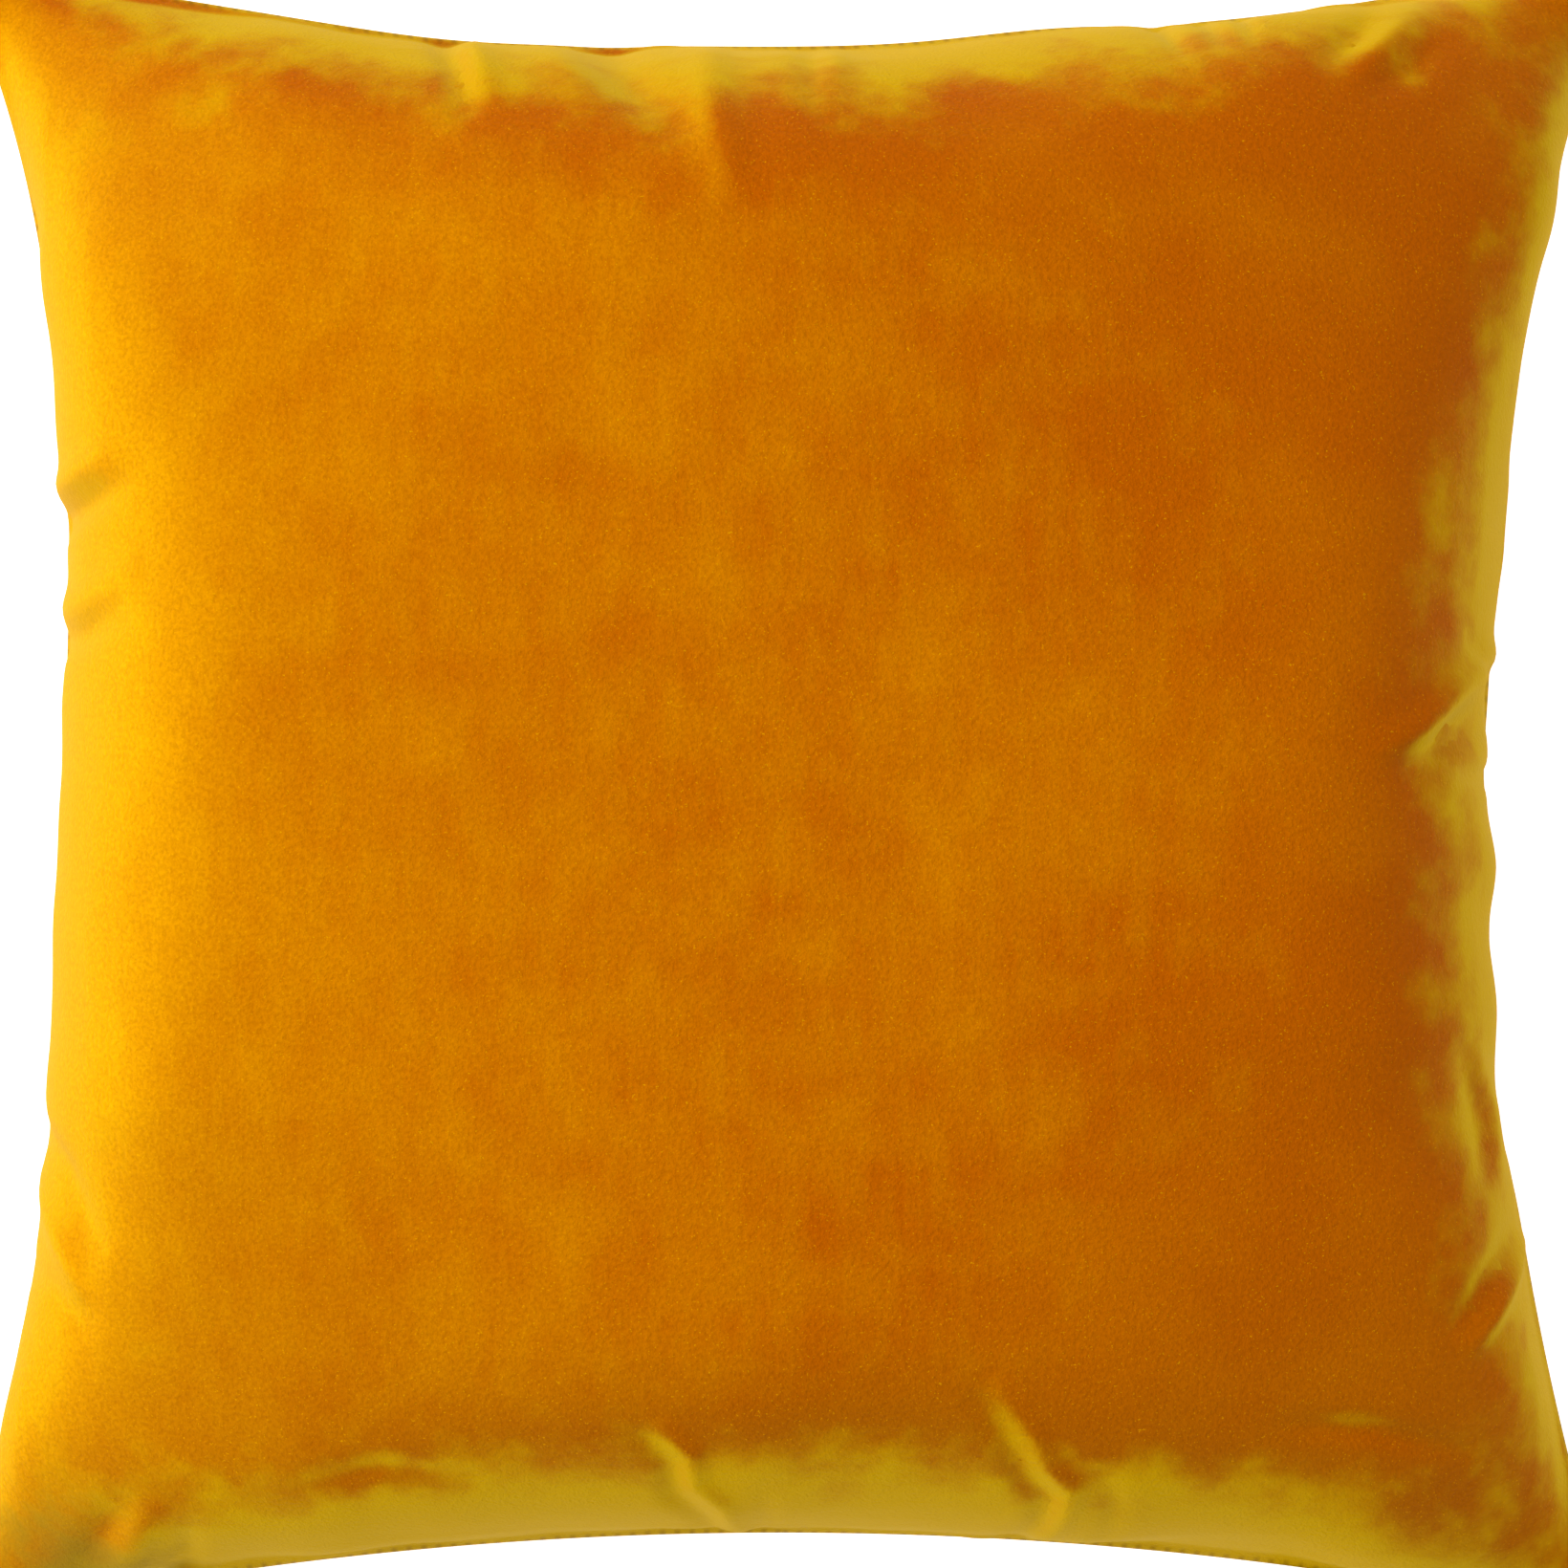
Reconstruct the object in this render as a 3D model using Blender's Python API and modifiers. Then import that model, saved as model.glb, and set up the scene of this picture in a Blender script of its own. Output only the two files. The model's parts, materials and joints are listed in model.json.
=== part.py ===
"""A square throw pillow: a zipped velvet cover round a filled insert, lying on its back panel.

+Z points out of the front panel, +X to the front's right, and the zip is in the -Y seam.
Lengths are metres. Across a seam, s runs inwards from the seam's outer edge.
"""

import math

import bmesh
import bpy
from mathutils import Matrix, Vector

# The cover's outline at its seam
HALF = 0.2175  # from the middle to a corner, along X and along Y
SIDE_PULL = 0.033  # how far the left and right seams pull in between their corners
SIDE_POWER = 2.4
END_PULL = 0.0235  # how far the top and zipped seams pull in between their corners

# The height of each panel's crown over the seam, and the floor under the seam
SEAM_Z = 0.070
FRONT_RISE = 0.085
BACK_RISE = 0.080
CROWN_POWER = 0.55

# Cloths and threads
VELVET = 0.0012
TICKING = 0.0006
TAPE = 0.0004
LABEL = 0.0003
THREAD_RADIUS = 0.00015
CLEAR = 0.0003  # between pieces that touch on the real pillow
SLACK = 0.0007  # between one stuffed layer and the next

# The cover's seams
SEAM_GAP = 0.00015  # half the gap between the two turned-in allowances
ROLL = 0.0008  # how far the rolled edge stands out past the first stitch
ALLOWANCE = 0.010
STITCH_S = 0.005

# The zipped seam
ZIP_HALF = 0.150  # half the length of the coils
SLOT_HALF = 0.0009
SLOT_FLARE = math.radians(38)  # how steeply each allowance leans away from the slot
FLARE_FULL = 0.014  # past the coils' ends the flare is still whole this far
FLARE_FADE = 0.018  # and then fades out over this length
COIL_RADIUS = 0.00055
COIL_SPLIT = 0.0001  # half the gap between the two coils
TAPE_S = 0.014  # where the tape's inner selvedge lies
TAPE_SPARE = 0.009  # tape past each end of the coils
ZIP_STITCH_S = 0.009
STOP_LENGTH = 0.002

# The slider and its pull tab
SLIDER_LENGTH = 0.009
SLIDER_WALL = 0.0007
NECK_HALF = 0.00045
PIN_RADIUS = 0.00045
KNUCKLE_WALL = 0.0005
LUG_WALL = 0.0005
TAB_LENGTH = 0.020
TAB_HALF_WIDTH = 0.00225
TAB_THICKNESS = 0.001

# The insert
INSERT_INSET = 0.017
INSERT_ALLOWANCE = 0.006
INSERT_STITCH_S = 0.003
FILL_INSET = 0.008  # from the insert's seam to the filling's edge
CLOSING_HALF = 0.055  # half of the hand-closed gap in the insert's seam

# Labels
LABEL_HALF_WIDTH = 0.010
CARE_LABEL_Y = -0.050
CARE_LABEL_S = (0.006, 0.012, 0.0165)
INSERT_LABEL_Y = 0.040
INSERT_LABEL_OUT = 0.0025  # how far the insert's label stands out of its seam
LABEL_DROP = 0.020

# Mesh fineness
CELLS = 16
CROWDING = math.radians(72)  # larger values crowd more of the cells to the seams
MITRE_POWER = 8  # larger values keep each corner's mitre nearer to its corner
CHAIN_STEPS = 24
SIDE_STEPS = 8

# Worked out
ARC_RADIUS = (HALF**2 + END_PULL**2) / (2 * END_PULL)
ARC_CENTRE_Y = -(HALF - END_PULL + ARC_RADIUS)
VELVET_EDGE = SEAM_GAP + 2 * VELVET + 2 * (CLEAR + THREAD_RADIUS)
TICKING_EDGE = SEAM_GAP + 2 * TICKING + 2 * (CLEAR + THREAD_RADIUS)
CASING_LESS = VELVET + SLACK
FILL_LESS = CASING_LESS + TICKING + SLACK
COIL_Z = COIL_SPLIT + COIL_RADIUS
LEG_IN = COIL_Z + COIL_RADIUS + CLEAR
LEG_OUT = LEG_IN + SLIDER_WALL
WEB_S = ROLL + (LEG_OUT + CLEAR / math.cos(SLOT_FLARE) - SLOT_HALF) / math.tan(SLOT_FLARE)
COIL_S = WEB_S + SLIDER_WALL + CLEAR + COIL_RADIUS
PLATE_S = -(NECK_HALF + SLIDER_WALL)
KNUCKLE_RADIUS = PIN_RADIUS + CLEAR + KNUCKLE_WALL
PIN_S = PLATE_S - CLEAR - KNUCKLE_RADIUS
LUG_REACH = PIN_RADIUS + 2 * KNUCKLE_WALL
KNUCKLE_HALF = LEG_IN - LUG_WALL - CLEAR
CHAIN_HALF_ANGLE = ZIP_HALF / ARC_RADIUS
SLIDER_ANGLE = (ZIP_HALF - SLIDER_LENGTH / 2) / ARC_RADIUS


def start_collection(name):
    """An empty scene with one collection for the pillow."""
    for thing in list(bpy.data.objects):
        bpy.data.objects.remove(thing)
    parts = bpy.data.collections.new(name)
    bpy.context.scene.collection.children.link(parts)
    return parts


def make_material(name, colour, roughness, metallic=0.0):
    material = bpy.data.materials.new(name)
    material.use_nodes = True
    shader = material.node_tree.nodes["Principled BSDF"]
    shader.inputs["Base Color"].default_value = (*colour, 1.0)
    shader.inputs["Roughness"].default_value = roughness
    shader.inputs["Metallic"].default_value = metallic
    material.diffuse_color = (*colour, 1.0)
    return material


def add_object(name, data, material, collection, parent=None):
    piece = bpy.data.objects.new(name, data)
    data.materials.append(material)
    collection.objects.link(piece)
    piece.parent = parent
    return piece


def mesh_from(bm, name):
    mesh = bpy.data.meshes.new(name)
    bm.to_mesh(mesh)
    bm.free()
    mesh.shade_smooth()
    return mesh


def end_line(x):
    """The distance from the X axis to the top or zipped seam: both are arcs of one radius."""
    return HALF - END_PULL + ARC_RADIUS - math.sqrt(ARC_RADIUS**2 - x**2)


def plan(u, v):
    """The point of the pillow's outline grid at u and v, which both run from -1 to 1."""
    x = u * (HALF - SIDE_PULL * (1 - abs(v) ** SIDE_POWER))
    return x, v * end_line(x)


def rim(u, v, inset, zipped):
    """A point that far inside the seam, for u or v at -1 or 1. Along a zip it is measured along Y."""
    if zipped and v == -1 and abs(u) < 1:
        x = plan(u, v)[0] * (1 - inset / HALF * abs(u) ** MITRE_POWER)
        return x, inset - end_line(x)
    k = 1 - inset / HALF
    return plan(u * k, v * k)


def crown(u, v, edge, rise):
    return edge + (rise - edge) * max(0.0, (1 - u * u) * (1 - v * v)) ** CROWN_POWER


def flare(u, v):
    """How far the allowance leans open: 1 along the zip, and 0 on the sewn seams."""
    if v > -1 or abs(u) == 1:
        return 0.0
    past = (abs(plan(u, v)[0]) - ZIP_HALF - FLARE_FULL) / FLARE_FADE
    return 1 - min(1.0, max(0.0, past))


def spacing():
    steps = [2 * step / CELLS - 1 for step in range(CELLS + 1)]
    return [math.sin(CROWDING * t) / math.sin(CROWDING) for t in steps]


def columns():
    """The grid's values of u, with one column on each side moved to the end of the zip's flare."""
    found = spacing()
    flare_end = (ZIP_HALF + FLARE_FULL) / HALF
    nearest = min(range(1, CELLS), key=lambda i: abs(found[i] - flare_end))
    found[nearest] = flare_end
    found[CELLS - nearest] = -flare_end
    return found


def tape_room(x, y):
    """How high the dome has to stand over the seam there, to clear the zip's tape."""
    s = min(y + end_line(x), TAPE_S)
    past = (abs(x) - ZIP_HALF - FLARE_FULL) / FLARE_FADE
    share = (1 - min(1.0, max(0.0, past))) * (y < 0)
    return share * (SLOT_HALF + (s - ROLL) * math.tan(SLOT_FLARE) + (3 * VELVET + 2 * CLEAR) / math.cos(SLOT_FLARE))


def crown_grid(bm, side, inset, edge, rise, deepest, zipped=False):
    """One domed panel, which is flat where it is deepest. It gives each vertex's u and v."""
    made = bmesh.ops.create_grid(bm, x_segments=CELLS, y_segments=CELLS, size=1)
    places = {}
    k = 1 - inset / HALF
    us, vs = columns(), spacing()
    for vert in made["verts"]:
        column, row = (round((t + 1) / 2 * CELLS) for t in vert.co[:2])
        u, v = us[column], vs[row]
        places[vert] = (u, v)
        on_rim = max(abs(u), abs(v)) == 1
        x, y = rim(u, v, inset, zipped) if on_rim else plan(u * k, v * k)
        room = tape_room(x, y) if zipped and not on_rim else 0.0
        height = min(max(crown(u, v, edge, rise), room), deepest)
        vert.co = (x, y, SEAM_Z + side * height)
    if side < 0:
        faces = {face for vert in made["verts"] for face in vert.link_faces}
        bmesh.ops.reverse_faces(bm, faces=list(faces))
    return places


def turn_in(bm, places, inset, zipped, height_of):
    """Grows a strip from the open edge to that inset, each new point at its own height."""
    edges = [edge for edge in bm.edges if edge.is_boundary]
    made = bmesh.ops.extrude_edge_only(bm, edges=edges)["geom"]
    grown = {}
    for vert in made:
        if not isinstance(vert, bmesh.types.BMVert):
            continue
        source = next(edge.other_vert(vert) for edge in vert.link_edges if edge.other_vert(vert) in places)
        u, v = places[source]
        x, y = rim(u, v, inset, zipped)
        vert.co = (x, y, SEAM_Z + height_of(u, v))
        grown[vert] = (u, v)
    places.update(grown)


def add_shell(name, material, collection, side, inset, cloth, edge, rise, deepest, allowance, zipped):
    """A sewn panel: its dome, the rolled edge and the allowance that is turned in at the seam."""

    def slot(u, v):
        return SEAM_GAP + (SLOT_HALF - SEAM_GAP) * flare(u, v) * zipped

    def lean(u, v):
        return (allowance - ROLL) * math.tan(SLOT_FLARE) * flare(u, v) * zipped

    bm = bmesh.new()
    places = crown_grid(bm, side, inset + ROLL, edge, rise, deepest, zipped)
    turn_in(bm, places, inset, zipped, lambda u, v: side * (edge + slot(u, v)) / 2)
    turn_in(bm, places, inset + ROLL, zipped, lambda u, v: side * slot(u, v))
    turn_in(bm, places, inset + allowance, zipped, lambda u, v: side * (slot(u, v) + lean(u, v)))
    panel = add_object(name, mesh_from(bm, name), material, collection)
    solidify = panel.modifiers.new("cloth", "SOLIDIFY")
    solidify.thickness = cloth
    solidify.offset = -1
    solidify.use_even_offset = True
    return panel


def add_fill(name, material, collection):
    """The stuffing: one lens-shaped solid, flat under its middle."""
    bm = bmesh.new()
    inset = INSERT_INSET + FILL_INSET
    crown_grid(bm, 1, inset, 0.0, FRONT_RISE - FILL_LESS, FRONT_RISE)
    crown_grid(bm, -1, inset, 0.0, BACK_RISE - FILL_LESS, SEAM_Z - FILL_LESS)
    bmesh.ops.remove_doubles(bm, verts=bm.verts, dist=1e-5)
    return add_object(name, mesh_from(bm, name), material, collection)


def add_tube(name, points, radius, material, collection):
    """A thread or a coil, as a round tube through the points."""
    curve = bpy.data.curves.new(name, "CURVE")
    curve.dimensions = "3D"
    curve.bevel_depth = radius
    curve.bevel_resolution = 1
    curve.use_fill_caps = True
    spline = curve.splines.new("POLY")
    spline.points.add(len(points) - 1)
    for place, point in zip(spline.points, points, strict=True):
        place.co = (*point, 1)
    return add_object(name, curve, material, collection)


def add_strip(name, rows, cloth, material, collection):
    """A thin strip through rows of points, as long as its rows are many."""
    bm = bmesh.new()
    across = len(rows[0]) - 1
    made = bmesh.ops.create_grid(bm, x_segments=len(rows) - 1, y_segments=across, size=1)
    for vert in made["verts"]:
        row = round((vert.co.x + 1) / 2 * (len(rows) - 1))
        column = round((vert.co.y + 1) / 2 * across)
        vert.co = rows[row][column]
    strip = add_object(name, mesh_from(bm, name), material, collection)
    solidify = strip.modifiers.new("cloth", "SOLIDIFY")
    solidify.thickness = cloth
    solidify.offset = 0
    solidify.use_even_offset = True
    return strip


def on_chain(angle, s, z):
    """The point of the zipped seam's arc at that angle from its middle."""
    reach = ARC_RADIUS + s
    return Vector((reach * math.sin(angle), ARC_CENTRE_Y + reach * math.cos(angle), SEAM_Z + z))


def chain_angles(spare=0.0):
    half = CHAIN_HALF_ANGLE + spare / ARC_RADIUS
    return [half * (2 * step / CHAIN_STEPS - 1) for step in range(CHAIN_STEPS + 1)]


def tape_height(s, under=0.0):
    """The height of the tape's middle along the leaning allowance, or of a point that far under it."""
    face = SLOT_HALF + (s - ROLL) * math.tan(SLOT_FLARE)
    return face - (CLEAR + TAPE / 2 + under) / math.cos(SLOT_FLARE)


def add_zip(looks, collection):
    """Two coils on two tapes, each sewn to its own allowance, with a stop at each end."""
    bend_s = COIL_S + 6 * COIL_RADIUS
    for side, panel in ((1, "front"), (-1, "back")):
        section = [
            (COIL_S + COIL_RADIUS + CLEAR + TAPE / 2, COIL_Z),
            (bend_s, tape_height(bend_s)),
            (TAPE_S, tape_height(TAPE_S)),
        ]
        rows = [[on_chain(angle, s, side * z) for s, z in section] for angle in chain_angles(TAPE_SPARE)]
        add_strip(f"zip_tape_{panel}", rows, TAPE, looks["tape"], collection)
        coil = [on_chain(angle, COIL_S, side * COIL_Z) for angle in chain_angles()]
        add_tube(f"zip_coil_{panel}", coil, COIL_RADIUS, looks["coil"], collection)
        stitch_z = side * tape_height(ZIP_STITCH_S, TAPE / 2 + CLEAR + THREAD_RADIUS)
        stitch = [on_chain(angle, ZIP_STITCH_S, stitch_z) for angle in chain_angles()]
        add_tube(f"zip_stitch_{panel}", stitch, THREAD_RADIUS, looks["thread"], collection)
        add_stop(f"zip_top_stop_{panel}", 1, side * COIL_Z, COIL_RADIUS, looks, collection)
    add_stop("zip_bottom_stop", -1, 0.0, COIL_Z + COIL_RADIUS, looks, collection)


def add_stop(name, end, z, half_height, looks, collection):
    """A small block past the coils' end, with its edges eased."""
    angle = end * (CHAIN_HALF_ANGLE + (CLEAR + STOP_LENGTH / 2) / ARC_RADIUS)
    stop = add_box(name, (STOP_LENGTH, 2 * COIL_RADIUS, 2 * half_height), looks["metal"], collection)
    stop.location = on_chain(angle, COIL_S, z)
    stop.rotation_euler.z = -angle
    ease = stop.modifiers.new("eased", "BEVEL")
    ease.width = COIL_RADIUS / 5
    ease.segments = 1


def add_box(name, size, material, collection, middle=(0, 0, 0)):
    bm = bmesh.new()
    bmesh.ops.create_cube(bm, size=1)
    bmesh.ops.scale(bm, verts=bm.verts, vec=size)
    bmesh.ops.translate(bm, verts=bm.verts, vec=middle)
    mesh = bpy.data.meshes.new(name)
    bm.to_mesh(mesh)
    bm.free()
    return add_object(name, mesh, material, collection)


def add_drum(name, radius, height, material, collection):
    """A short cylinder along Z."""
    bm = bmesh.new()
    bmesh.ops.create_cone(
        bm, cap_ends=True, segments=16, radius1=radius, radius2=radius, depth=height
    )
    mesh = bpy.data.meshes.new(name)
    bm.to_mesh(mesh)
    bm.free()
    return add_object(name, mesh, material, collection)


def add_plate(name, outline, half_thickness, material, collection):
    """A closed mesh from a flat outline, thickened along Z."""
    curve = bpy.data.curves.new(name, "CURVE")
    curve.dimensions = "2D"
    curve.fill_mode = "BOTH"
    curve.extrude = half_thickness
    spline = curve.splines.new("POLY")
    spline.points.add(len(outline) - 1)
    for place, (x, y) in zip(spline.points, outline, strict=True):
        place.co = (x, y, 0, 1)
    spline.use_cyclic_u = True
    guide = bpy.data.objects.new(name + "_guide", curve)
    collection.objects.link(guide)
    graph = bpy.context.evaluated_depsgraph_get()
    mesh = bpy.data.meshes.new_from_object(guide.evaluated_get(graph))
    bpy.data.objects.remove(guide)
    bm = bmesh.new()
    bm.from_mesh(mesh)
    bmesh.ops.remove_doubles(bm, verts=bm.verts, dist=1e-6)
    bmesh.ops.recalc_face_normals(bm, faces=bm.faces)
    bm.to_mesh(mesh)
    bm.free()
    return add_object(name, mesh, material, collection)


def combine(target, other, operation):
    """Joins or cuts with a helper, which the build leaves out."""
    boolean = target.modifiers.new(other.name, "BOOLEAN")
    boolean.operation = operation
    boolean.object = other
    other.parent = target.parent
    other.hide_render = True
    other.display_type = "WIRE"


def add_slider(looks, parts, helpers):
    """The slider, with its pull tab folded back along the seam."""
    track = bpy.data.objects.new("zip_track_axis", None)
    track.location = (0, ARC_CENTRE_Y, SEAM_Z)
    track.rotation_euler.z = -SLIDER_ANGLE
    parts.objects.link(track)
    upper = [
        (PLATE_S, LEG_IN),
        (-NECK_HALF, LEG_IN),
        (-NECK_HALF, NECK_HALF),
        (WEB_S, NECK_HALF),
        (WEB_S, LEG_OUT),
        (COIL_S + COIL_RADIUS, LEG_OUT),
        (COIL_S + COIL_RADIUS, LEG_IN),
        (WEB_S + SLIDER_WALL, LEG_IN),
    ]
    outline = [(s, -z) for s, z in upper] + [(s, z) for s, z in reversed(upper)]
    section = [(ARC_RADIUS + s, z) for s, z in outline]
    body = add_plate("zip_slider_body", section, SLIDER_LENGTH / 2, looks["metal"], parts)
    # The section is drawn with s along its X and height along its Y, and runs along the chain.
    turn = ((0, 0, 1, 0), (1, 0, 0, 0), (0, 1, 0, 0), (0, 0, 0, 1))
    body.data.transform(Matrix(turn))
    body.parent = track
    lug_in = KNUCKLE_HALF + CLEAR
    pin_x = SLIDER_LENGTH / 2 - LUG_REACH
    for side in (-1, 1):
        top = PIN_S - LUG_REACH
        bottom = PLATE_S + SLIDER_WALL / 2
        middle = (pin_x, ARC_RADIUS + (top + bottom) / 2, side * (lug_in + LUG_WALL / 2))
        size = (2 * LUG_REACH, bottom - top, LUG_WALL)
        lug = add_box(f"lug_{'upper' if side > 0 else 'lower'}", size, looks["metal"], helpers, middle)
        combine(body, lug, "UNION")
    pin = add_drum("pull_pin", PIN_RADIUS, 2 * lug_in + LUG_WALL, looks["metal"], helpers)
    pin.location = (pin_x, ARC_RADIUS + PIN_S, 0)
    combine(body, pin, "UNION")
    add_pull_tab(track, pin_x, looks, parts, helpers)


def add_pull_tab(track, pin_x, looks, parts, helpers):
    pivot = bpy.data.objects.new("pull_tab_axis", None)
    pivot.location = (pin_x, ARC_RADIUS + PIN_S, 0)
    pivot.parent = track
    parts.objects.link(pivot)
    shoulder = math.hypot(LUG_REACH, LUG_REACH) + CLEAR
    round_x = TAB_LENGTH - TAB_HALF_WIDTH
    turn = [math.radians(angle) for angle in range(90, -91, -30)]
    nose = [
        (-(round_x + TAB_HALF_WIDTH * math.cos(a)), TAB_HALF_WIDTH * math.sin(a)) for a in turn
    ]
    outline = [(0.0, KNUCKLE_HALF), (-shoulder, KNUCKLE_HALF), (-shoulder - KNUCKLE_HALF, TAB_HALF_WIDTH)]
    outline += nose
    outline += [(-shoulder - KNUCKLE_HALF, -TAB_HALF_WIDTH), (-shoulder, -KNUCKLE_HALF), (0.0, -KNUCKLE_HALF)]
    tab = add_plate("zip_pull_tab", outline, TAB_THICKNESS / 2, looks["metal"], parts)
    # The tab lies in the plane of X and Z, with its thickness across the seam.
    tab.data.transform(Matrix(((1, 0, 0, 0), (0, 0, -1, 0), (0, 1, 0, 0), (0, 0, 0, 1))))
    tab.parent = pivot
    knuckle = add_drum("pull_knuckle", KNUCKLE_RADIUS, 2 * KNUCKLE_HALF, looks["metal"], helpers)
    combine(tab, knuckle, "UNION")
    eye = add_drum("pull_eye", PIN_RADIUS + CLEAR, 4 * KNUCKLE_HALF, looks["metal"], helpers)
    combine(tab, eye, "DIFFERENCE")


def sewn_path(inset, z, ends):
    """Up the left seam, along the top and down the right one, from and to v = ends."""
    k = 1 - inset / HALF
    climb = [ends + (1 - ends) * step / SIDE_STEPS for step in range(SIDE_STEPS + 1)]
    across = [2 * step / SIDE_STEPS - 1 for step in range(1, SIDE_STEPS)]
    route = [(-1, v) for v in climb] + [(u, 1) for u in across] + [(1, v) for v in reversed(climb)]
    return [Vector((*plan(u * k, v * k), SEAM_Z + z)) for u, v in route]


def add_seams(looks, collection):
    """The lockstitch through both allowances: one thread on top of them and one beneath."""
    z = SEAM_GAP + VELVET + CLEAR + THREAD_RADIUS
    for name, side in (("seam_needle_thread", 1), ("seam_bobbin_thread", -1)):
        path = sewn_path(STITCH_S, side * z, -0.95)
        add_tube(name, path, THREAD_RADIUS, looks["thread"], collection)
    z = SEAM_GAP + TICKING + CLEAR + THREAD_RADIUS
    path = sewn_path(INSERT_INSET + INSERT_STITCH_S, z, -1)
    add_tube("insert_seam_thread", path, THREAD_RADIUS, looks["white_thread"], collection)
    k = 1 - INSERT_INSET / HALF
    xs = [CLOSING_HALF * (2 * step / SIDE_STEPS - 1) for step in range(SIDE_STEPS + 1)]
    closing = [Vector((x, -k * end_line(x) - 2 * CLEAR, SEAM_Z)) for x in xs]
    add_tube("insert_closing_stitch", closing, THREAD_RADIUS, looks["white_thread"], collection)


def add_label(name, side, y, section, material, collection):
    """A label across a side seam. Its section holds the distance from the Y axis and the height."""
    ys = (y - LABEL_HALF_WIDTH, y + LABEL_HALF_WIDTH)
    rows = [[Vector((side * x, row_y, SEAM_Z + z)) for x, z in section] for row_y in ys]
    add_strip(name, rows, LABEL, material, collection)


def add_labels(looks, collection):
    under = -(SEAM_GAP + VELVET + CLEAR + LABEL / 2)
    seam_x = plan(1, CARE_LABEL_Y / end_line(HALF - SIDE_PULL))[0]
    start, bend, end = CARE_LABEL_S
    section = [(seam_x - start, under), (seam_x - bend, under), (seam_x - end, under - LABEL_DROP)]
    add_label("care_label", -1, CARE_LABEL_Y, section, looks["label"], collection)
    k = 1 - INSERT_INSET / HALF
    sides = [abs(INSERT_LABEL_Y) + reach for reach in (-LABEL_HALF_WIDTH, LABEL_HALF_WIDTH)]
    edge_x = max(plan(k, y / end_line(HALF - SIDE_PULL))[0] for y in sides) + CLEAR
    out_x = edge_x + INSERT_LABEL_OUT
    section = [(edge_x, 0.0), (out_x, -INSERT_LABEL_OUT / 2), (edge_x, -LABEL_DROP)]
    add_label("insert_label", 1, INSERT_LABEL_Y, section, looks["label"], collection)


def main():
    parts = start_collection("throw_pillow")
    helpers = bpy.data.collections.new("helpers")
    bpy.context.scene.collection.children.link(helpers)
    velvet = make_material("mustard_cotton_velvet", (0.58, 0.20, 0.0), 0.75)
    ticking = make_material("white_cotton_ticking", (0.85, 0.83, 0.78), 0.9)
    looks = {
        "thread": make_material("mustard_polyester_thread", (0.5, 0.22, 0.02), 0.6),
        "white_thread": make_material("white_polyester_thread", (0.85, 0.84, 0.8), 0.6),
        "tape": make_material("zip_tape_polyester", (0.5, 0.23, 0.02), 0.7),
        "coil": make_material("zip_coil_nylon", (0.52, 0.25, 0.03), 0.4),
        "metal": make_material("zip_zinc_enamel", (0.55, 0.3, 0.05), 0.35, 0.4),
        "label": make_material("label_satin", (0.88, 0.86, 0.82), 0.5),
    }
    whole = SEAM_Z + FRONT_RISE
    cover = {"inset": 0.0, "cloth": VELVET, "edge": VELVET_EDGE, "allowance": ALLOWANCE, "zipped": True}
    add_shell("front_panel", velvet, parts, 1, rise=FRONT_RISE, deepest=whole, **cover)
    add_shell("back_panel", velvet, parts, -1, rise=BACK_RISE, deepest=SEAM_Z, **cover)
    casing = {
        "inset": INSERT_INSET,
        "cloth": TICKING,
        "edge": TICKING_EDGE,
        "allowance": INSERT_ALLOWANCE,
        "zipped": False,
    }
    rise = FRONT_RISE - CASING_LESS
    add_shell("insert_casing_front", ticking, parts, 1, rise=rise, deepest=whole, **casing)
    rise = BACK_RISE - CASING_LESS
    deepest = SEAM_Z - CASING_LESS
    add_shell("insert_casing_back", ticking, parts, -1, rise=rise, deepest=deepest, **casing)
    fill = make_material("hollowfibre_filling", (0.92, 0.92, 0.9), 1.0)
    add_fill("fill_core", fill, parts)
    add_seams(looks, parts)
    add_zip(looks, parts)
    add_slider(looks, parts, helpers)
    add_labels(looks, parts)


main()
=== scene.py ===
"""Looks for a square throw pillow: a zipped mustard velvet cover round a stuffed insert.

Metres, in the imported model's own frame: +Z out of the front panel, and the zip in the -Y seam.
Across a seam, s runs inwards from the seam's outer edge.
"""

import json
import math

import bmesh
import bpy
import numpy as np
from mathutils import Matrix, Vector


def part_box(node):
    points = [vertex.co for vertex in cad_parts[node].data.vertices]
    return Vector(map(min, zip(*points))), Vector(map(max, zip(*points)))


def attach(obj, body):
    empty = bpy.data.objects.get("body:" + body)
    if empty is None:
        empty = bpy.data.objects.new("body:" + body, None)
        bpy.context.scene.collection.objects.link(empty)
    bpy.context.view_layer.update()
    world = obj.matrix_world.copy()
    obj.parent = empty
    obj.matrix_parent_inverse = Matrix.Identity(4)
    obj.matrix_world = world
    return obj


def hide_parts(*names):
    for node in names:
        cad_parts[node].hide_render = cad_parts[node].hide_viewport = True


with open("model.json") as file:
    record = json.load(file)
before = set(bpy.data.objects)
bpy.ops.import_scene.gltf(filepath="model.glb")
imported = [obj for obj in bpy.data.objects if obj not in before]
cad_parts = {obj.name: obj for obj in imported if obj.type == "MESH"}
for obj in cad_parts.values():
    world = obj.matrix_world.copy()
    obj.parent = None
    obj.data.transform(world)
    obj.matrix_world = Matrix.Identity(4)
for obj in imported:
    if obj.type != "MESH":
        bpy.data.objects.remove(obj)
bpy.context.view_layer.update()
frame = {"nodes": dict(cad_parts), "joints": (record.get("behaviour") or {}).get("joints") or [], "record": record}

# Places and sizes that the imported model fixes
TRACK = frame["joints"][0]["pos_m"]  # the centre of the zipped seam's arc
SEAM_Z = TRACK[2]
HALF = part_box("front_panel")[1].x
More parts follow.
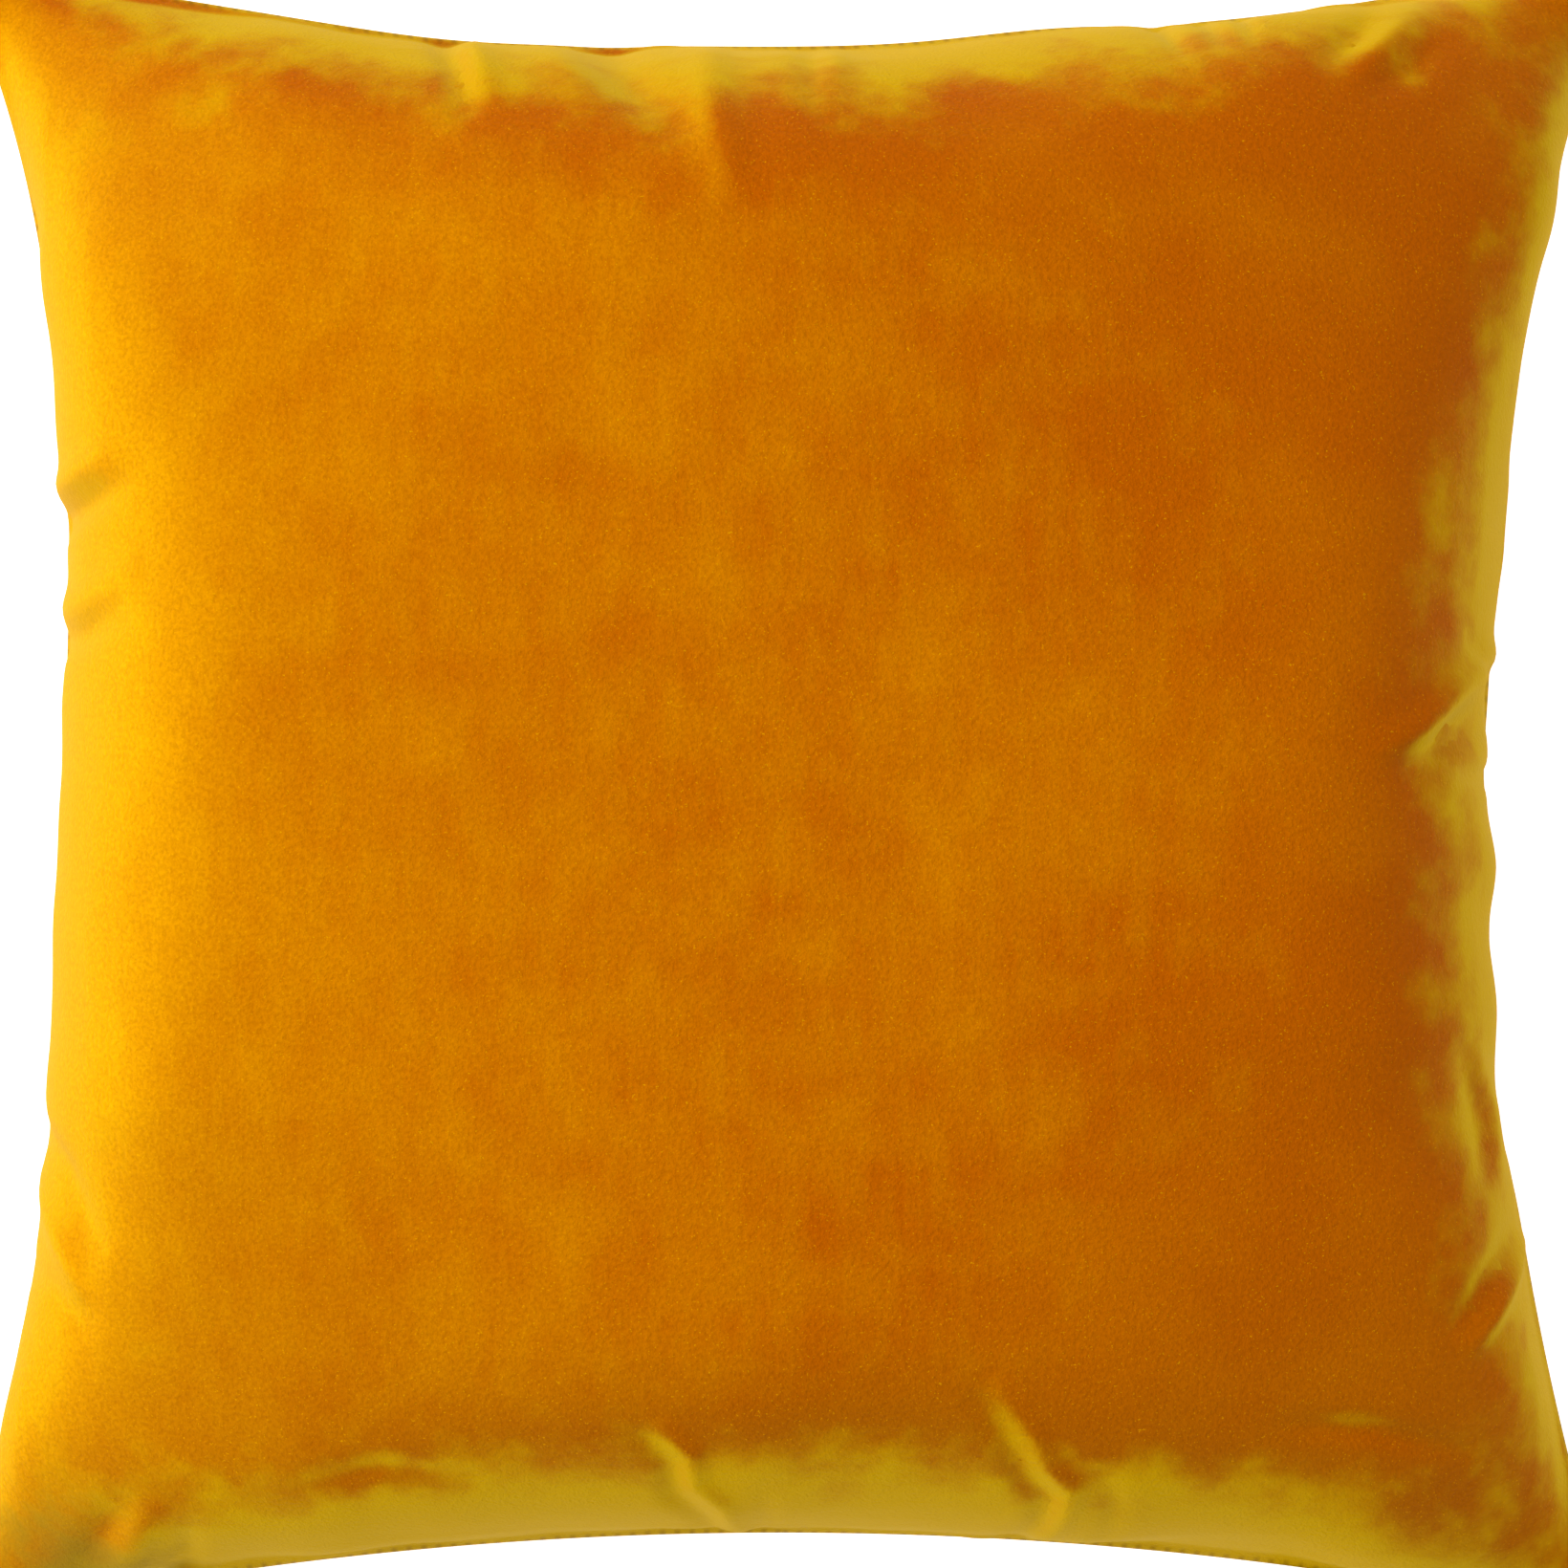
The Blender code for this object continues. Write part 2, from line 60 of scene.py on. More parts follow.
TOP_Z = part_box("front_panel")[1].z
ZIP_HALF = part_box("zip_coil_front")[1].x
ARC_RADIUS = math.hypot(HALF, -HALF - TRACK[1])
END_PULL = HALF + TRACK[1] + ARC_RADIUS

# Cloths
FLAT = 0.455  # each velvet panel's seamed width and height, laid flat
VELVET = 0.0012
TICKING = 0.0006
ALLOWANCE = 0.010

# The seam's rolled edge
SEAM_GAP = 0.00015
SLOT_HALF = 0.0009
SLOT_FLARE = math.radians(38)
FLARE_FULL = 0.014
FLARE_FADE = 0.018

MITRE_FADE = 0.03
TOP_DROP = 0.0008  # the velvet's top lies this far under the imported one
BACK_PRESS = 0.009  # how far the back would bulge through a level floor
VELVET_EDGE = 0.00345
VELVET_ROLL = 0.0009
DOME_EDGE = 0.0028
TICKING_EDGE = 0.0019
TICKING_ROLL = 0.0008
CASING_DOME = 0.0013
CLEAR = 0.0003
STITCH_S = 0.005
STITCH_PITCH = 0.004
THREAD_RADIUS = 0.00015
STITCH_ARCH = 0.00012
# Puckers: wavelength, height, and how far in they die out
PUCKERS = ((0.0085, 0.00034, 0.006), (0.014, 0.0006, 0.011), (0.027, 0.0007, 0.02))

# The zip
TAPE = 0.0004
TAPE_LENGTH = 2 * (ZIP_HALF + 0.009)
TAPE_S = 0.014
COIL_RADIUS = 0.00055
FILAMENT = 0.00018
TOOTH_PITCH = 0.0015
COIL_Z = 0.00065
COIL_S = 0.0045
ZIP_STITCH_S = 0.009
STOP_EASE = 0.00005
SLIDER_EASE = 0.00014

# The insert and the labels
INSERT_INSET = 0.018
INSERT_ALLOWANCE = 0.006
INSERT_STITCH_S = 0.003
FILL_INSET = 0.0105
CASING_LESS = 0.0034
FILL_LESS = 0.0054
CLOSING_HALF = 0.055
LABEL = 0.0003
CASING_CELLS = 120

# How the cloth of the blown cover behaves
CLOTH = {
    "quality": 6,
    "mass": 0.15,
    "tension_stiffness": 15,
    "compression_stiffness": 7.5,
    "shear_stiffness": 5,
    "bending_stiffness": 0.5,
    "tension_damping": 5,
    "compression_damping": 5,
    "shear_damping": 5,
    "bending_damping": 0.5,
    "air_damping": 2,
    "use_pressure": True,
    "uniform_pressure_force": 5,
}

# How much of the blown cover's gathers each panel keeps
FRONT_GATHERS = 0.22
BACK_GATHERS = 0.4

CRUSHED = (-0.176, -0.200, 0.077)  # the middle of the front's crushed corner

# Mesh fineness
CLOTH_CELLS = 90
FINE_CELLS = 280
LINING_STEP = 5
CROWDING = math.radians(50)

# The stage
FLOOR_DROP = 0.0002
ROOM_LIGHT = 0.54
KEY_PLACE = (-1.40, 0.30, 1.60)
KEY_WATTS = 33.0
FRAME_WIDTH = 0.410


def smooth(t):
    t = np.clip(t, 0.0, 1.0)
    return t * t * (3 - 2 * t)


def linked(piece):
    bpy.context.scene.collection.objects.link(piece)
    return piece


# ---- the stuffed cover's shape


def square(lines):
    return np.meshgrid(lines, lines, indexing="ij")


def blank_grid(cells):
    return square(np.linspace(-1, 1, cells + 1))


def blown_cover():
    """Two square panels sewn edge to edge and blown up, as flat-cut cloth is when it is stuffed."""
    n = CLOTH_CELLS + 1
    u, v = blank_grid(CLOTH_CELLS)
    bulge = np.sqrt((1 - u**2) * (1 - v**2))
    flat = np.stack([u * FLAT / 2, v * FLAT / 2], -1)
    front = np.concatenate([flat, 0.012 * bulge[..., None]], -1)
    back = np.concatenate([flat, -0.012 * bulge[..., None]], -1)
    on_seam = (np.abs(u) == 1) | (np.abs(v) == 1)
    front_index = np.arange(n * n).reshape(n, n)
    back_index = front_index.copy()
    back_index[~on_seam] = n * n + np.arange((~on_seam).sum())
    verts = np.concatenate([front.reshape(-1, 3), back[~on_seam]])
    f, b = front_index, back_index
    front_faces = np.stack([f[:-1, :-1], f[1:, :-1], f[1:, 1:], f[:-1, 1:]], -1).reshape(-1, 4)
    back_faces = np.stack([b[:-1, :-1], b[:-1, 1:], b[1:, 1:], b[1:, :-1]], -1).reshape(-1, 4)
    mesh = bpy.data.meshes.new("cover_blank")
    mesh.from_pydata(verts.tolist(), [], np.concatenate([front_faces, back_faces]).tolist())
    blank = linked(bpy.data.objects.new("cover_blank", mesh))
    cloth = blank.modifiers.new("cloth", "CLOTH")
    for key, value in CLOTH.items():
        setattr(cloth.settings, key, value)
    cloth.settings.effector_weights.gravity = 0
    cloth.collision_settings.use_collision = False
    cloth.point_cache.frame_start = 1
    cloth.point_cache.frame_end = 20
    for step in range(1, 21):
        bpy.context.scene.frame_set(step)
    graph = bpy.context.evaluated_depsgraph_get()
    blown = blank.evaluated_get(graph).to_mesh()
    co = np.zeros(len(blown.vertices) * 3, np.float32)
    blown.vertices.foreach_get("co", co)
    co = co.reshape(-1, 3).astype(float)
    bpy.data.objects.remove(blank)
    bpy.context.scene.frame_set(1)
    return co[front_index], co[back_index]


def crowded(cells):
    """Grid lines from -1 to 1, closer together towards the seams."""
    return np.sin(CROWDING * np.linspace(-1, 1, cells + 1)) / np.sin(CROWDING)


def spline_weights(t_new, cells):
    """Rows of cubic weights that read an even grid at new places between -1 and 1."""
    place = (t_new + 1) / 2 * cells
    low = np.clip(np.floor(place).astype(int), 0, cells - 1)
    w = place - low
    cubic = [
        -0.5 * w + w**2 - 0.5 * w**3,
        1 - 2.5 * w**2 + 1.5 * w**3,
        0.5 * w + 2 * w**2 - 1.5 * w**3,
        -0.5 * w**2 + 0.5 * w**3,
    ]
    table = np.zeros((len(t_new), cells + 1))
    rows = np.arange(len(t_new))
    for shift, weight in zip((-1, 0, 1, 2), cubic):
        at = low + shift
        inside = (at >= 0) & (at <= cells)
        table[rows[inside], at[inside]] += weight[inside]
        for past, end, next_in in ((at < 0, 0, 1), (at > cells, cells, cells - 1)):
            table[rows[past], end] += 2 * weight[past]
            table[rows[past], next_in] -= weight[past]
    return table


def bump(t, middle, width):
    return np.exp(-(((t - middle) / width) ** 2))


def left_edge(y):
    """How far the left seam lies from the Y axis: the pull is fuller above the middle."""
    power = np.where(y > 0, 3.4, 2.35)
    edge = HALF - 0.0312 * (1 - np.abs(y / HALF) ** power)
    return edge - 0.0012 * bump(y, 0.064, 0.022) + 0.0016 * bump(y, -0.030, 0.035)


def right_edge(y):
    edge = HALF - 0.0335 * (1 - np.abs(y / HALF) ** 2.0)
    edge = edge + 0.0017 * bump(y, 0.064, 0.020) - 0.0008 * bump(y, 0.006, 0.012)
    edge = edge + 0.0008 * bump(y, -0.0185, 0.009) - 0.0006 * bump(y, -0.036, 0.011)
    return edge - 0.0022 * bump(y, -0.082, 0.018)


def top_edge(x):
    edge = HALF - 0.0238 * (1 - np.abs(x / HALF) ** 2.0)
    edge = edge - 0.0020 * bump(x, -0.085, 0.040) + 0.0022 * bump(x, 0.070, 0.030)
    return edge - 0.0010 * bump(x, 0.096, 0.008) - 0.0006 * bump(x, -0.045, 0.012)


def bottom_edge(x):
    return HALF - END_PULL + ARC_RADIUS - np.sqrt(ARC_RADIUS**2 - x**2)


def outline_fix(grid):
    """How far each of the grid's seam points has to move, and the same spread over the panel."""
    move = np.zeros(grid[..., :2].shape)
    stretch = HALF / grid[-1, -1, 0]
    for axis, end, edge, sign in (
        (0, 0, left_edge, -1),
        (0, -1, right_edge, 1),
        (1, 0, bottom_edge, -1),
        (1, -1, top_edge, 1),
    ):
        row = grid[end, :, :2] if axis == 0 else grid[:, end, :2]
        along = row[:, 1 - axis] * stretch
        target = np.zeros(row.shape)
        target[:, 1 - axis] = along
        target[:, axis] = sign * edge(np.clip(along, -HALF, HALF))
        if axis == 0:
            move[end] = target - row
        else:
            move[:, end] = target - row
    corner = np.array([[-1, -1], [-1, 1], [1, -1], [1, 1]]) * HALF
    for (i, j), place in zip(((0, 0), (0, -1), (-1, 0), (-1, -1)), corner):
        move[i, j] = place - grid[i, j, :2]
    n = len(grid)
    t = np.linspace(0, 1, n)
    a, b = square(t)
    a, b = a[..., None], b[..., None]
    west, east = move[0][None], move[-1][None]
    south, north = move[:, 0][:, None], move[:, -1][:, None]
    sides = (1 - a) * west + a * east + (1 - b) * south + b * north
    corners = (1 - a) * (1 - b) * move[0, 0] + a * (1 - b) * move[-1, 0]
    corners = corners + (1 - a) * b * move[0, -1] + a * b * move[-1, -1]
    return sides - corners


# Folds and dents pressed into the front: points in millimetres, half-width and height
FRONT_FOLDS = (
    (((149, 11), (158, 15), (168, 24), (184, 35)), 4.2, 3.0),
    (((158, 6), (170, 14), (181, 18)), 5.5, -3.2),
    (((174, 37), (182, 30), (184, 23)), 2.6, -1.6),
    (((170, 5), (178, 3), (186, 3)), 3.0, -1.8),
    (((176, -8), (181, -20), (183, -34)), 4.5, 1.2),
    (((174, -139), (183, -128), (193, -116)), 3.0, 2.2),
    (((170, -133), (179, -122), (187, -112)), 3.8, -1.9),
    (((176, -68), (181, -83), (183, -98)), 3.2, 1.8),
    (((171, -66), (176, -82), (178, -98)), 3.2, -1.2),
    (((-29, -157), (-22, -164), (-21, -173), (-14, -180), (-11, -191)), 2.3, 1.6),
    (((-34, -160), (-28, -168), (-27, -177), (-20, -185), (-17, -192)), 2.8, -1.7),
    (((-4, -176), (-4, -184), (-5, -193)), 3.0, -0.9),
    (((54, -147), (62, -158), (66, -167), (73, -175), (71, -185), (66, -193)), 2.5, 1.6),
    (((48, -150), (56, -162), (60, -171), (66, -178), (65, -187), (60, -193)), 3.0, -1.6),
    (((80, -170), (84, -180), (83, -192)), 3.0, -1.0),
    (((-47, 192), (-38, 179), (-28, 166)), 6.5, -3.0),
    (((-20, 194), (-17, 172), (-12, 148)), 6.0, 2.2),
    (((-62, 192), (-55, 182), (-47, 172)), 5.0, 1.3),
    (((-89, 195), (-83, 184), (-78, 170)), 3.6, -2.0),
    (((-81, 195), (-76, 184), (-72, 173)), 3.4, 1.4),
    (((12, 194), (14, 184), (12, 172)), 4.0, 0.9),
    (((144, 179), (152, 187), (162, 197)), 4.0, 2.0),
    (((138, 184), (146, 192), (153, 200)), 4.0, -1.8),
    (((150, 176), (160, 182), (168, 190)), 4.0, -1.4),
    (((95, 200), (98, 194), (101, 186)), 2.4, -1.4),
    (((107, 200), (110, 194), (111, 188)), 2.4, -1.2),
    (((118, 202), (119, 196), (119, 189)), 2.2, -1.0),
    (((-192, 68), (-181, 69), (-166, 74)), 4.0, -2.4),
    (((-192, 77), (-180, 79), (-168, 83)), 4.0, 1.8),
    (((-191, 46), (-178, 47), (-162, 53)), 4.5, 1.6),
    (((-191, 37), (-178, 38), (-166, 42)), 4.0, -1.7),
    (((-192, -86), (-182, -96), (-172, -113)), 4.0, -2.6),
    (((-191, -101), (-184, -112), (-176, -125)), 3.4, 2.0),
    (((-196, -124), (-187, -126), (-176, -134)), 4.0, -1.4),
    (((-118, -173), (-100, -169), (-78, -171)), 3.5, -1.0),
    (((125, -158), (148, -160), (172, -167)), 3.5, -1.1),
    (((7, 190), (8, 180), (9, 166)), 3.5, -1.0),
    (((-160, -184), (-166, -194), (-172, -206)), 4.0, 1.8),
    (((-168, -182), (-175, -192), (-182, -203)), 4.5, -2.0),
    (((-150, -188), (-153, -197), (-157, -207)), 3.5, -1.6),
    (((21, 2), (23, -12), (24, -26)), 9.0, -0.45),
    (((32, -4), (34, -20), (33, -38)), 9.0, -0.45),
    (((-50, 88), (-46, 80), (-42, 74)), 9.0, -0.45),
)


def fold_heights(x, y, folds):
    """The height that a set of ridges (positive) and furrows (negative) adds at each place."""
    total = np.zeros(x.shape)
    for points, width, height in folds:
        knots = np.array(points, float) / 1000
        steps = np.linspace(0, len(knots) - 1, 13)
        path = np.stack([np.interp(steps, range(len(knots)), knots[:, k]) for k in (0, 1)], -1)
        reach = 4 * width / 1000
        near = (x > path[:, 0].min() - reach) & (x < path[:, 0].max() + reach)
        near &= (y > path[:, 1].min() - reach) & (y < path[:, 1].max() + reach)
        px, py = x[near], y[near]
        best = np.full(px.shape, 9.0)
        along = np.zeros(px.shape)
        for k in range(12):
            ax, ay = path[k]
            dx, dy = path[k + 1] - path[k]
            t = np.clip(((px - ax) * dx + (py - ay) * dy) / (dx * dx + dy * dy), 0, 1)
            distance = np.hypot(px - ax - t * dx, py - ay - t * dy)
            closer = distance < best
            best[closer] = distance[closer]
            along[closer] = (k + t[closer]) / 12
        taper = np.sin(np.pi * (0.12 + 0.76 * along))
        total[near] += height / 1000 * taper * np.exp(-((best * 1000 / width) ** 2))
    return total


def seam_distance(u, v):
    """Roughly how far each place lies from the nearest seam, along the cloth."""
    return np.minimum(1 - np.abs(u), 1 - np.abs(v)) * FLAT / 2


def seam_puckers(u, v, seed):
    """Small gathers that the stitches draw up, across the seams and dying out from them."""
    rng = np.random.default_rng(seed)
    total = np.zeros(u.shape)
    for run, cross in ((u, v), (v, u)):
        for side in (-1, 1):
            far = (1 - side * cross) * FLAT / 2
            for wavelength, height, depth in PUCKERS:
                place = (run + 1) * FLAT / 2 / wavelength
                knots = rng.uniform(-1, 1, int(FLAT / wavelength) + 4)
                low = np.clip(np.floor(place).astype(int), 0, len(knots) - 2)
                wave = knots[low] + (knots[low + 1] - knots[low]) * smooth(place - low)
                ends = smooth((1 - np.abs(run)) * FLAT / 2 / 0.02)
                total += height * wave * np.exp(-far / depth) * ends
    return total


def zip_share(x):
    return 1 - smooth((np.abs(x) - ZIP_HALF - FLARE_FULL) / FLARE_FADE)


def cover_shapes():
    """The front and back panels' even grids, fitted to the seams, with heights above the seam's plane."""
    front, back = blown_cover()
    front, back = calmed(front, FRONT_GATHERS), calmed(back, BACK_GATHERS)
    seam = (front + back) / 2
    for end in (0, -1):
        front[end], front[:, end] = seam[end], seam[:, end]
        back[end], back[:, end] = seam[end], seam[:, end]
    move = outline_fix(front)
    depths = ((front, TOP_Z - SEAM_Z - TOP_DROP), (back, SEAM_Z + BACK_PRESS))
    for grid, depth in depths:
        grid[..., :2] += move
        grid[..., 2] *= depth / np.abs(grid[..., 2]).max()
        for edge in (grid[0], grid[-1], grid[:, 0], grid[:, -1]):
            edge[:, 2] = 0
    return front, back


def smoothed(grid, axis, passes):
    """The grid averaged along one axis with its ends held."""
    g = np.moveaxis(grid, axis, 0)
    for _ in range(passes):
        before = 2 * g[:1] - g[1:2]
        after = 2 * g[-1:] - g[-2:-1]
        padded = np.concatenate([before, g, after])
        g = 0.25 * padded[:-2] + 0.5 * padded[1:-1] + 0.25 * padded[2:]
    return np.moveaxis(g, 0, axis)


def calmed(grid, keep, passes=60):
    """Evens out the gathers along each seam, and keeps that share of them."""
    u, v = blank_grid(CLOTH_CELLS)
    to_sides = (1.001 - np.abs(u)) ** 2
    to_ends = (1.001 - np.abs(v)) ** 2
    share = (to_sides / (to_sides + to_ends))[..., None]
    calm = share * smoothed(grid, 0, passes) + (1 - share) * smoothed(grid, 1, passes)
    near = np.exp(-((seam_distance(u, v) / 0.026) ** 2))[..., None]
    gathers = smoothed(smoothed(grid - calm, 0, 3), 1, 3)
    return calm + keep * near * gathers


def fine_grid(grid, lines):
    weights = spline_weights(lines, CLOTH_CELLS)
    return np.einsum("ia,abk,jb->ijk", weights, grid, weights)


def normals(grid, side):
    n = np.cross(np.gradient(grid, axis=0), np.gradient(grid, axis=1))
    return side * n / np.maximum(np.linalg.norm(n, axis=-1, keepdims=True), 1e-12)


def pressed_flat(z, floor):
    """Heights over the floor, pressed softly flat where the back lies on it."""
    soft = 0.004
    over = z - floor
    return floor + 0.5 * (over + np.sqrt(over**2 + soft**2)) - 0.00005


def slot_height(x, zipped):
    return SEAM_GAP + (SLOT_HALF - SEAM_GAP) * zipped * zip_share(x)


def dome(grid, side, lines, edge):
    """One panel's fine surface, with its edge raised onto the rolled seam."""
    u, v = square(lines)
    far = seam_distance(u, v)
    surface = fine_grid(grid, lines)
    rise = seam_puckers(u, v, 11 if side > 0 else 23) * smooth(far / 0.003)
    if side > 0:
        rise = rise + fold_heights(surface[..., 0], surface[..., 1], FRONT_FOLDS) * smooth(far / 0.006)
    surface = surface + normals(surface, side) * rise[..., None]
    surface[..., 2] += side * edge * np.exp(-((far / 0.006) ** 2))
    surface[..., 2] += SEAM_Z
    if side < 0:
        surface[..., 2] = pressed_flat(surface[..., 2], 0.0)
    return surface


def ring(grid):
    """The grid's border as one closed loop, anticlockwise from its lower left corner."""
    return np.concatenate([grid[:-1, 0], grid[-1, :-1], grid[:0:-1, -1], grid[0, :0:-1]])


def inward(loop):
    """The way into the pillow at each point of its outline, mitred so that corners don't fold over."""
    count = len(loop) // 4
    into = np.zeros(loop.shape)
    for side in range(4):
        rows = np.arange(side * count, (side + 1) * count + 1) % len(loop)
        tangent = np.gradient(loop[rows], axis=0)
        tangent /= np.linalg.norm(tangent, axis=-1, keepdims=True)
        travelled = np.concatenate([[0], np.cumsum(np.linalg.norm(np.diff(loop[rows], axis=0), axis=1))])
        start = np.clip(1 - travelled / MITRE_FADE, 0, 1)
        end = np.clip(1 - (travelled[-1] - travelled) / MITRE_FADE, 0, 1)
        way = np.stack([-tangent[:, 1], tangent[:, 0]], -1) + tangent * (start - end)[:, None]
        way[0] /= 2
        way[-1] /= 2
        np.add.at(into, rows, way)
    return into


def lumpiness(cells):
    """Soft clumps of fibre, 15 to 40 mm across."""
    rng = np.random.default_rng(5)
    x, y = square(crowded(cells) * HALF)
    total = np.zeros(x.shape)
    for _ in range(60):
        wavelength = rng.uniform(0.018, 0.045)
        turn, phase = rng.uniform(0, 2 * math.pi, 2)
        total += np.sin(2 * math.pi / wavelength * (x * math.cos(turn) + y * math.sin(turn)) + phase)
    return 0.0001 * total


def stuffing(name, upper, lower, material):
    """The filling as one closed lens whose halves share their edge."""
    n = len(upper)
    index = np.arange(n * n).reshape(n, n)
    inner = np.ones((n, n), bool)
    inner[0] = inner[-1] = inner[:, 0] = inner[:, -1] = False
    under = index.copy()
    under[inner] = n * n + np.arange(inner.sum())
    verts = np.concatenate([upper.reshape(-1, 3), lower[inner]])
    faces = np.concatenate([quads(index), quads(under)[:, ::-1]])
    return mesh_object(name, verts, faces, material)


def tape_height(s, under=0.0):
    """The height of a zip tape's middle along the leaning allowance, or of a point that far under it."""
    face = SLOT_HALF + (s - VELVET_ROLL) * math.tan(SLOT_FLARE)
    return face - (CLEAR + TAPE / 2 + under) / math.cos(SLOT_FLARE)


def label_strip(name, node, cloth, material):
    """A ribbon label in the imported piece's place: out of its seam, over a soft bend and down."""
    low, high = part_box(node)
    left = low.x < 0
    middle = cloth / 2
    top, bottom = high.z - middle, low.z + middle
    if left:
        out = low.x + 0.0036
        section = [(low.x, top), (low.x + 0.0026, top - 0.0008), (out, top - 0.005), (out + 0.0008, bottom)]
    else:
        out = high.x - middle
        inner = low.x + middle + 0.0007
        section = [(inner, SEAM_Z), (out, SEAM_Z - 0.0012), (inner + 0.0008, SEAM_Z - 0.006), (inner, bottom)]
    soft = curl(section, 6)
    length = np.linalg.norm(np.diff(soft, axis=0), axis=1).sum()
    ys = np.linspace(low.y, high.y, 15)
    rows = [[(x, y, z) for x, z in soft] for y in (ys if left else ys[::-1])]
    return strip(name, rows, cloth, material), (high.y - low.y, length)


def quads(index):
    a, b, c, d = index[:-1, :-1], index[1:, :-1], index[1:, 1:], index[:-1, 1:]
    return np.stack([a, b, c, d], -1).reshape(-1, 4)


def band(outer, inner):
    """Faces between two closed loops of equal length, outer one first, facing up for a loop outside."""
    return np.stack([outer, np.roll(outer, -1), np.roll(inner, -1), inner], -1)


def mesh_object(name, verts, faces, material, uv=None):
    mesh = bpy.data.meshes.new(name)
    mesh.from_pydata([tuple(p) for p in verts], [], [tuple(int(i) for i in f) for f in faces])
    mesh.validate()
    if uv is not None:
        layer = mesh.uv_layers.new(name="cloth")
        corner = np.zeros(len(mesh.loops), np.int32)
        mesh.loops.foreach_get("vertex_index", corner)
        layer.data.foreach_set("uv", np.asarray(uv, np.float32)[corner].ravel())
    mesh.shade_smooth()
    mesh.materials.append(material)
    return linked(bpy.data.objects.new(name, mesh))


def bordered(outline, into, s, z):
    """The outline moved in by s, at z from the seam's plane."""
    return np.column_stack([outline + into * np.reshape(s, (-1, 1)), SEAM_Z + z])


def panel(name, side, surface, lines, section, cloth, step, material):
    """A sewn panel as one closed piece of cloth.

    section lists (s, z) pairs over the border points, from the dome's edge round the roll and in
    along the allowance; the first len(section) - 1 come round the outside. The lining has a
    coarser grid, one cell for every step of the face's cells.
    """
    n = len(lines)
    index = np.arange(n * n).reshape(n, n)
    verts = [surface.reshape(-1, 3)]
    u, v = square(lines)
    uvs = [np.stack([u, v], -1).reshape(-1, 2) * FLAT / 2 + 0.5]
    border = ring(index)
    outline = ring(surface)[:, :2]
    into = inward(outline)
    border_uv = uvs[0][border]
    count = n * n
    loops = [border]
    travelled = 0.0
    last = None
    for s, z in section(outline[:, 0], outline[:, 1]):
        place = bordered(outline, into, s, side * z)
        if last is not None:
            travelled = travelled + np.linalg.norm(place - last, axis=1)
        last = place
        verts.append(place)
        uvs.append(border_uv - into * np.reshape(travelled, (-1, 1)))
        loops.append(count + np.arange(len(border)))
        count += len(border)
    faces = [quads(index)]
    faces += [band(b, a) for a, b in zip(loops[:-1], loops[1:])]
    # The lining: every step-th point of the face, moved in by the cloth's thickness
    thin = surface[::step, ::step]
    lining = thin - normals(thin, side) * cloth
    m = len(lining)
    lining_index = count + np.arange(m * m).reshape(m, m)
    verts.append(lining.reshape(-1, 3))
    uvs.append(uvs[0].reshape(n, n, 2)[::step, ::step].reshape(-1, 2))
    count += m * m
    lining_border = ring(lining_index)
    coarse = slice(None, None, step)
    into_c, outline_c = into[coarse], outline[coarse]
    inner_loops = []
    for s, z in section(outline_c[:, 0], outline_c[:, 1], cloth):
        place = bordered(outline_c, into_c, s, side * z)
        verts.append(place)
        uvs.append(border_uv[coarse])
        inner_loops.append(count + np.arange(len(place)))
        count += len(place)
    # The lining's own border takes the first inner loop's place
    faces_in = [quads(lining_index)[:, ::-1]]
    chain = [lining_border] + inner_loops
    faces_in += [band(a, b) for a, b in zip(chain[:-1], chain[1:])]
    # Close the allowance's cut edge: coarse loop to fine loop
    fine, rough = loops[-1], inner_loops[-1]
    closing = []
    for k in range(len(rough)):
        nxt = rough[(k + 1) % len(rough)]
        for q in range(step):
            a, b = fine[k * step + q], fine[(k * step + q + 1) % len(fine)]
            closing.append((a, b, rough[k] if q <= step // 2 else nxt))
            if q == step // 2:
                closing.append((rough[k], b, nxt))
    all_faces = [tuple(f) for block in faces + faces_in for f in block.tolist()]
    all_faces += [(c, b, a) for a, b, c in closing]
    if side < 0:
        all_faces = [f[::-1] for f in all_faces]
    return mesh_object(name, np.concatenate(verts), all_faces, material, np.concatenate(uvs))


def rolled_edge(edge, roll, allowance, zipped):
    """The section of a seam: round the folded edge and in along the turned-in allowance."""

    def section(x, y, cloth=0.0):
        slot = slot_height(x, zipped * (y < 0))
        lean = (slot - SEAM_GAP) / (SLOT_HALF - SEAM_GAP) * math.tan(SLOT_FLARE)
        middle, half = (edge + slot) / 2, (edge - slot) / 2
        if cloth:
            yield roll + cloth, middle + 0 * x
            yield roll + 1.5 * cloth, slot + cloth + lean * 1.5 * cloth
        else:
            for angle in (0, -40, -70):
                a = math.radians(angle)
                yield roll * (1 - math.cos(a)), middle + half * math.sin(a)
            yield roll, slot
        yield allowance * 0.5, slot + cloth + lean * (allowance * 0.5 - roll)
        yield allowance, slot + cloth + lean * (allowance - roll)

    return section


# ---- materials


def srgb(text):
    """A hex colour as linear values."""
    parts = [int(text[i : i + 2], 16) / 255 for i in (1, 3, 5)]
    return (*[p / 12.92 if p <= 0.04045 else ((p + 0.055) / 1.055) ** 2.4 for p in parts], 1.0)


def new_material(name):
    material = bpy.data.materials.new(name)
    material.use_nodes = True
    tree = material.node_tree
    return material, tree, tree.nodes["Principled BSDF"]


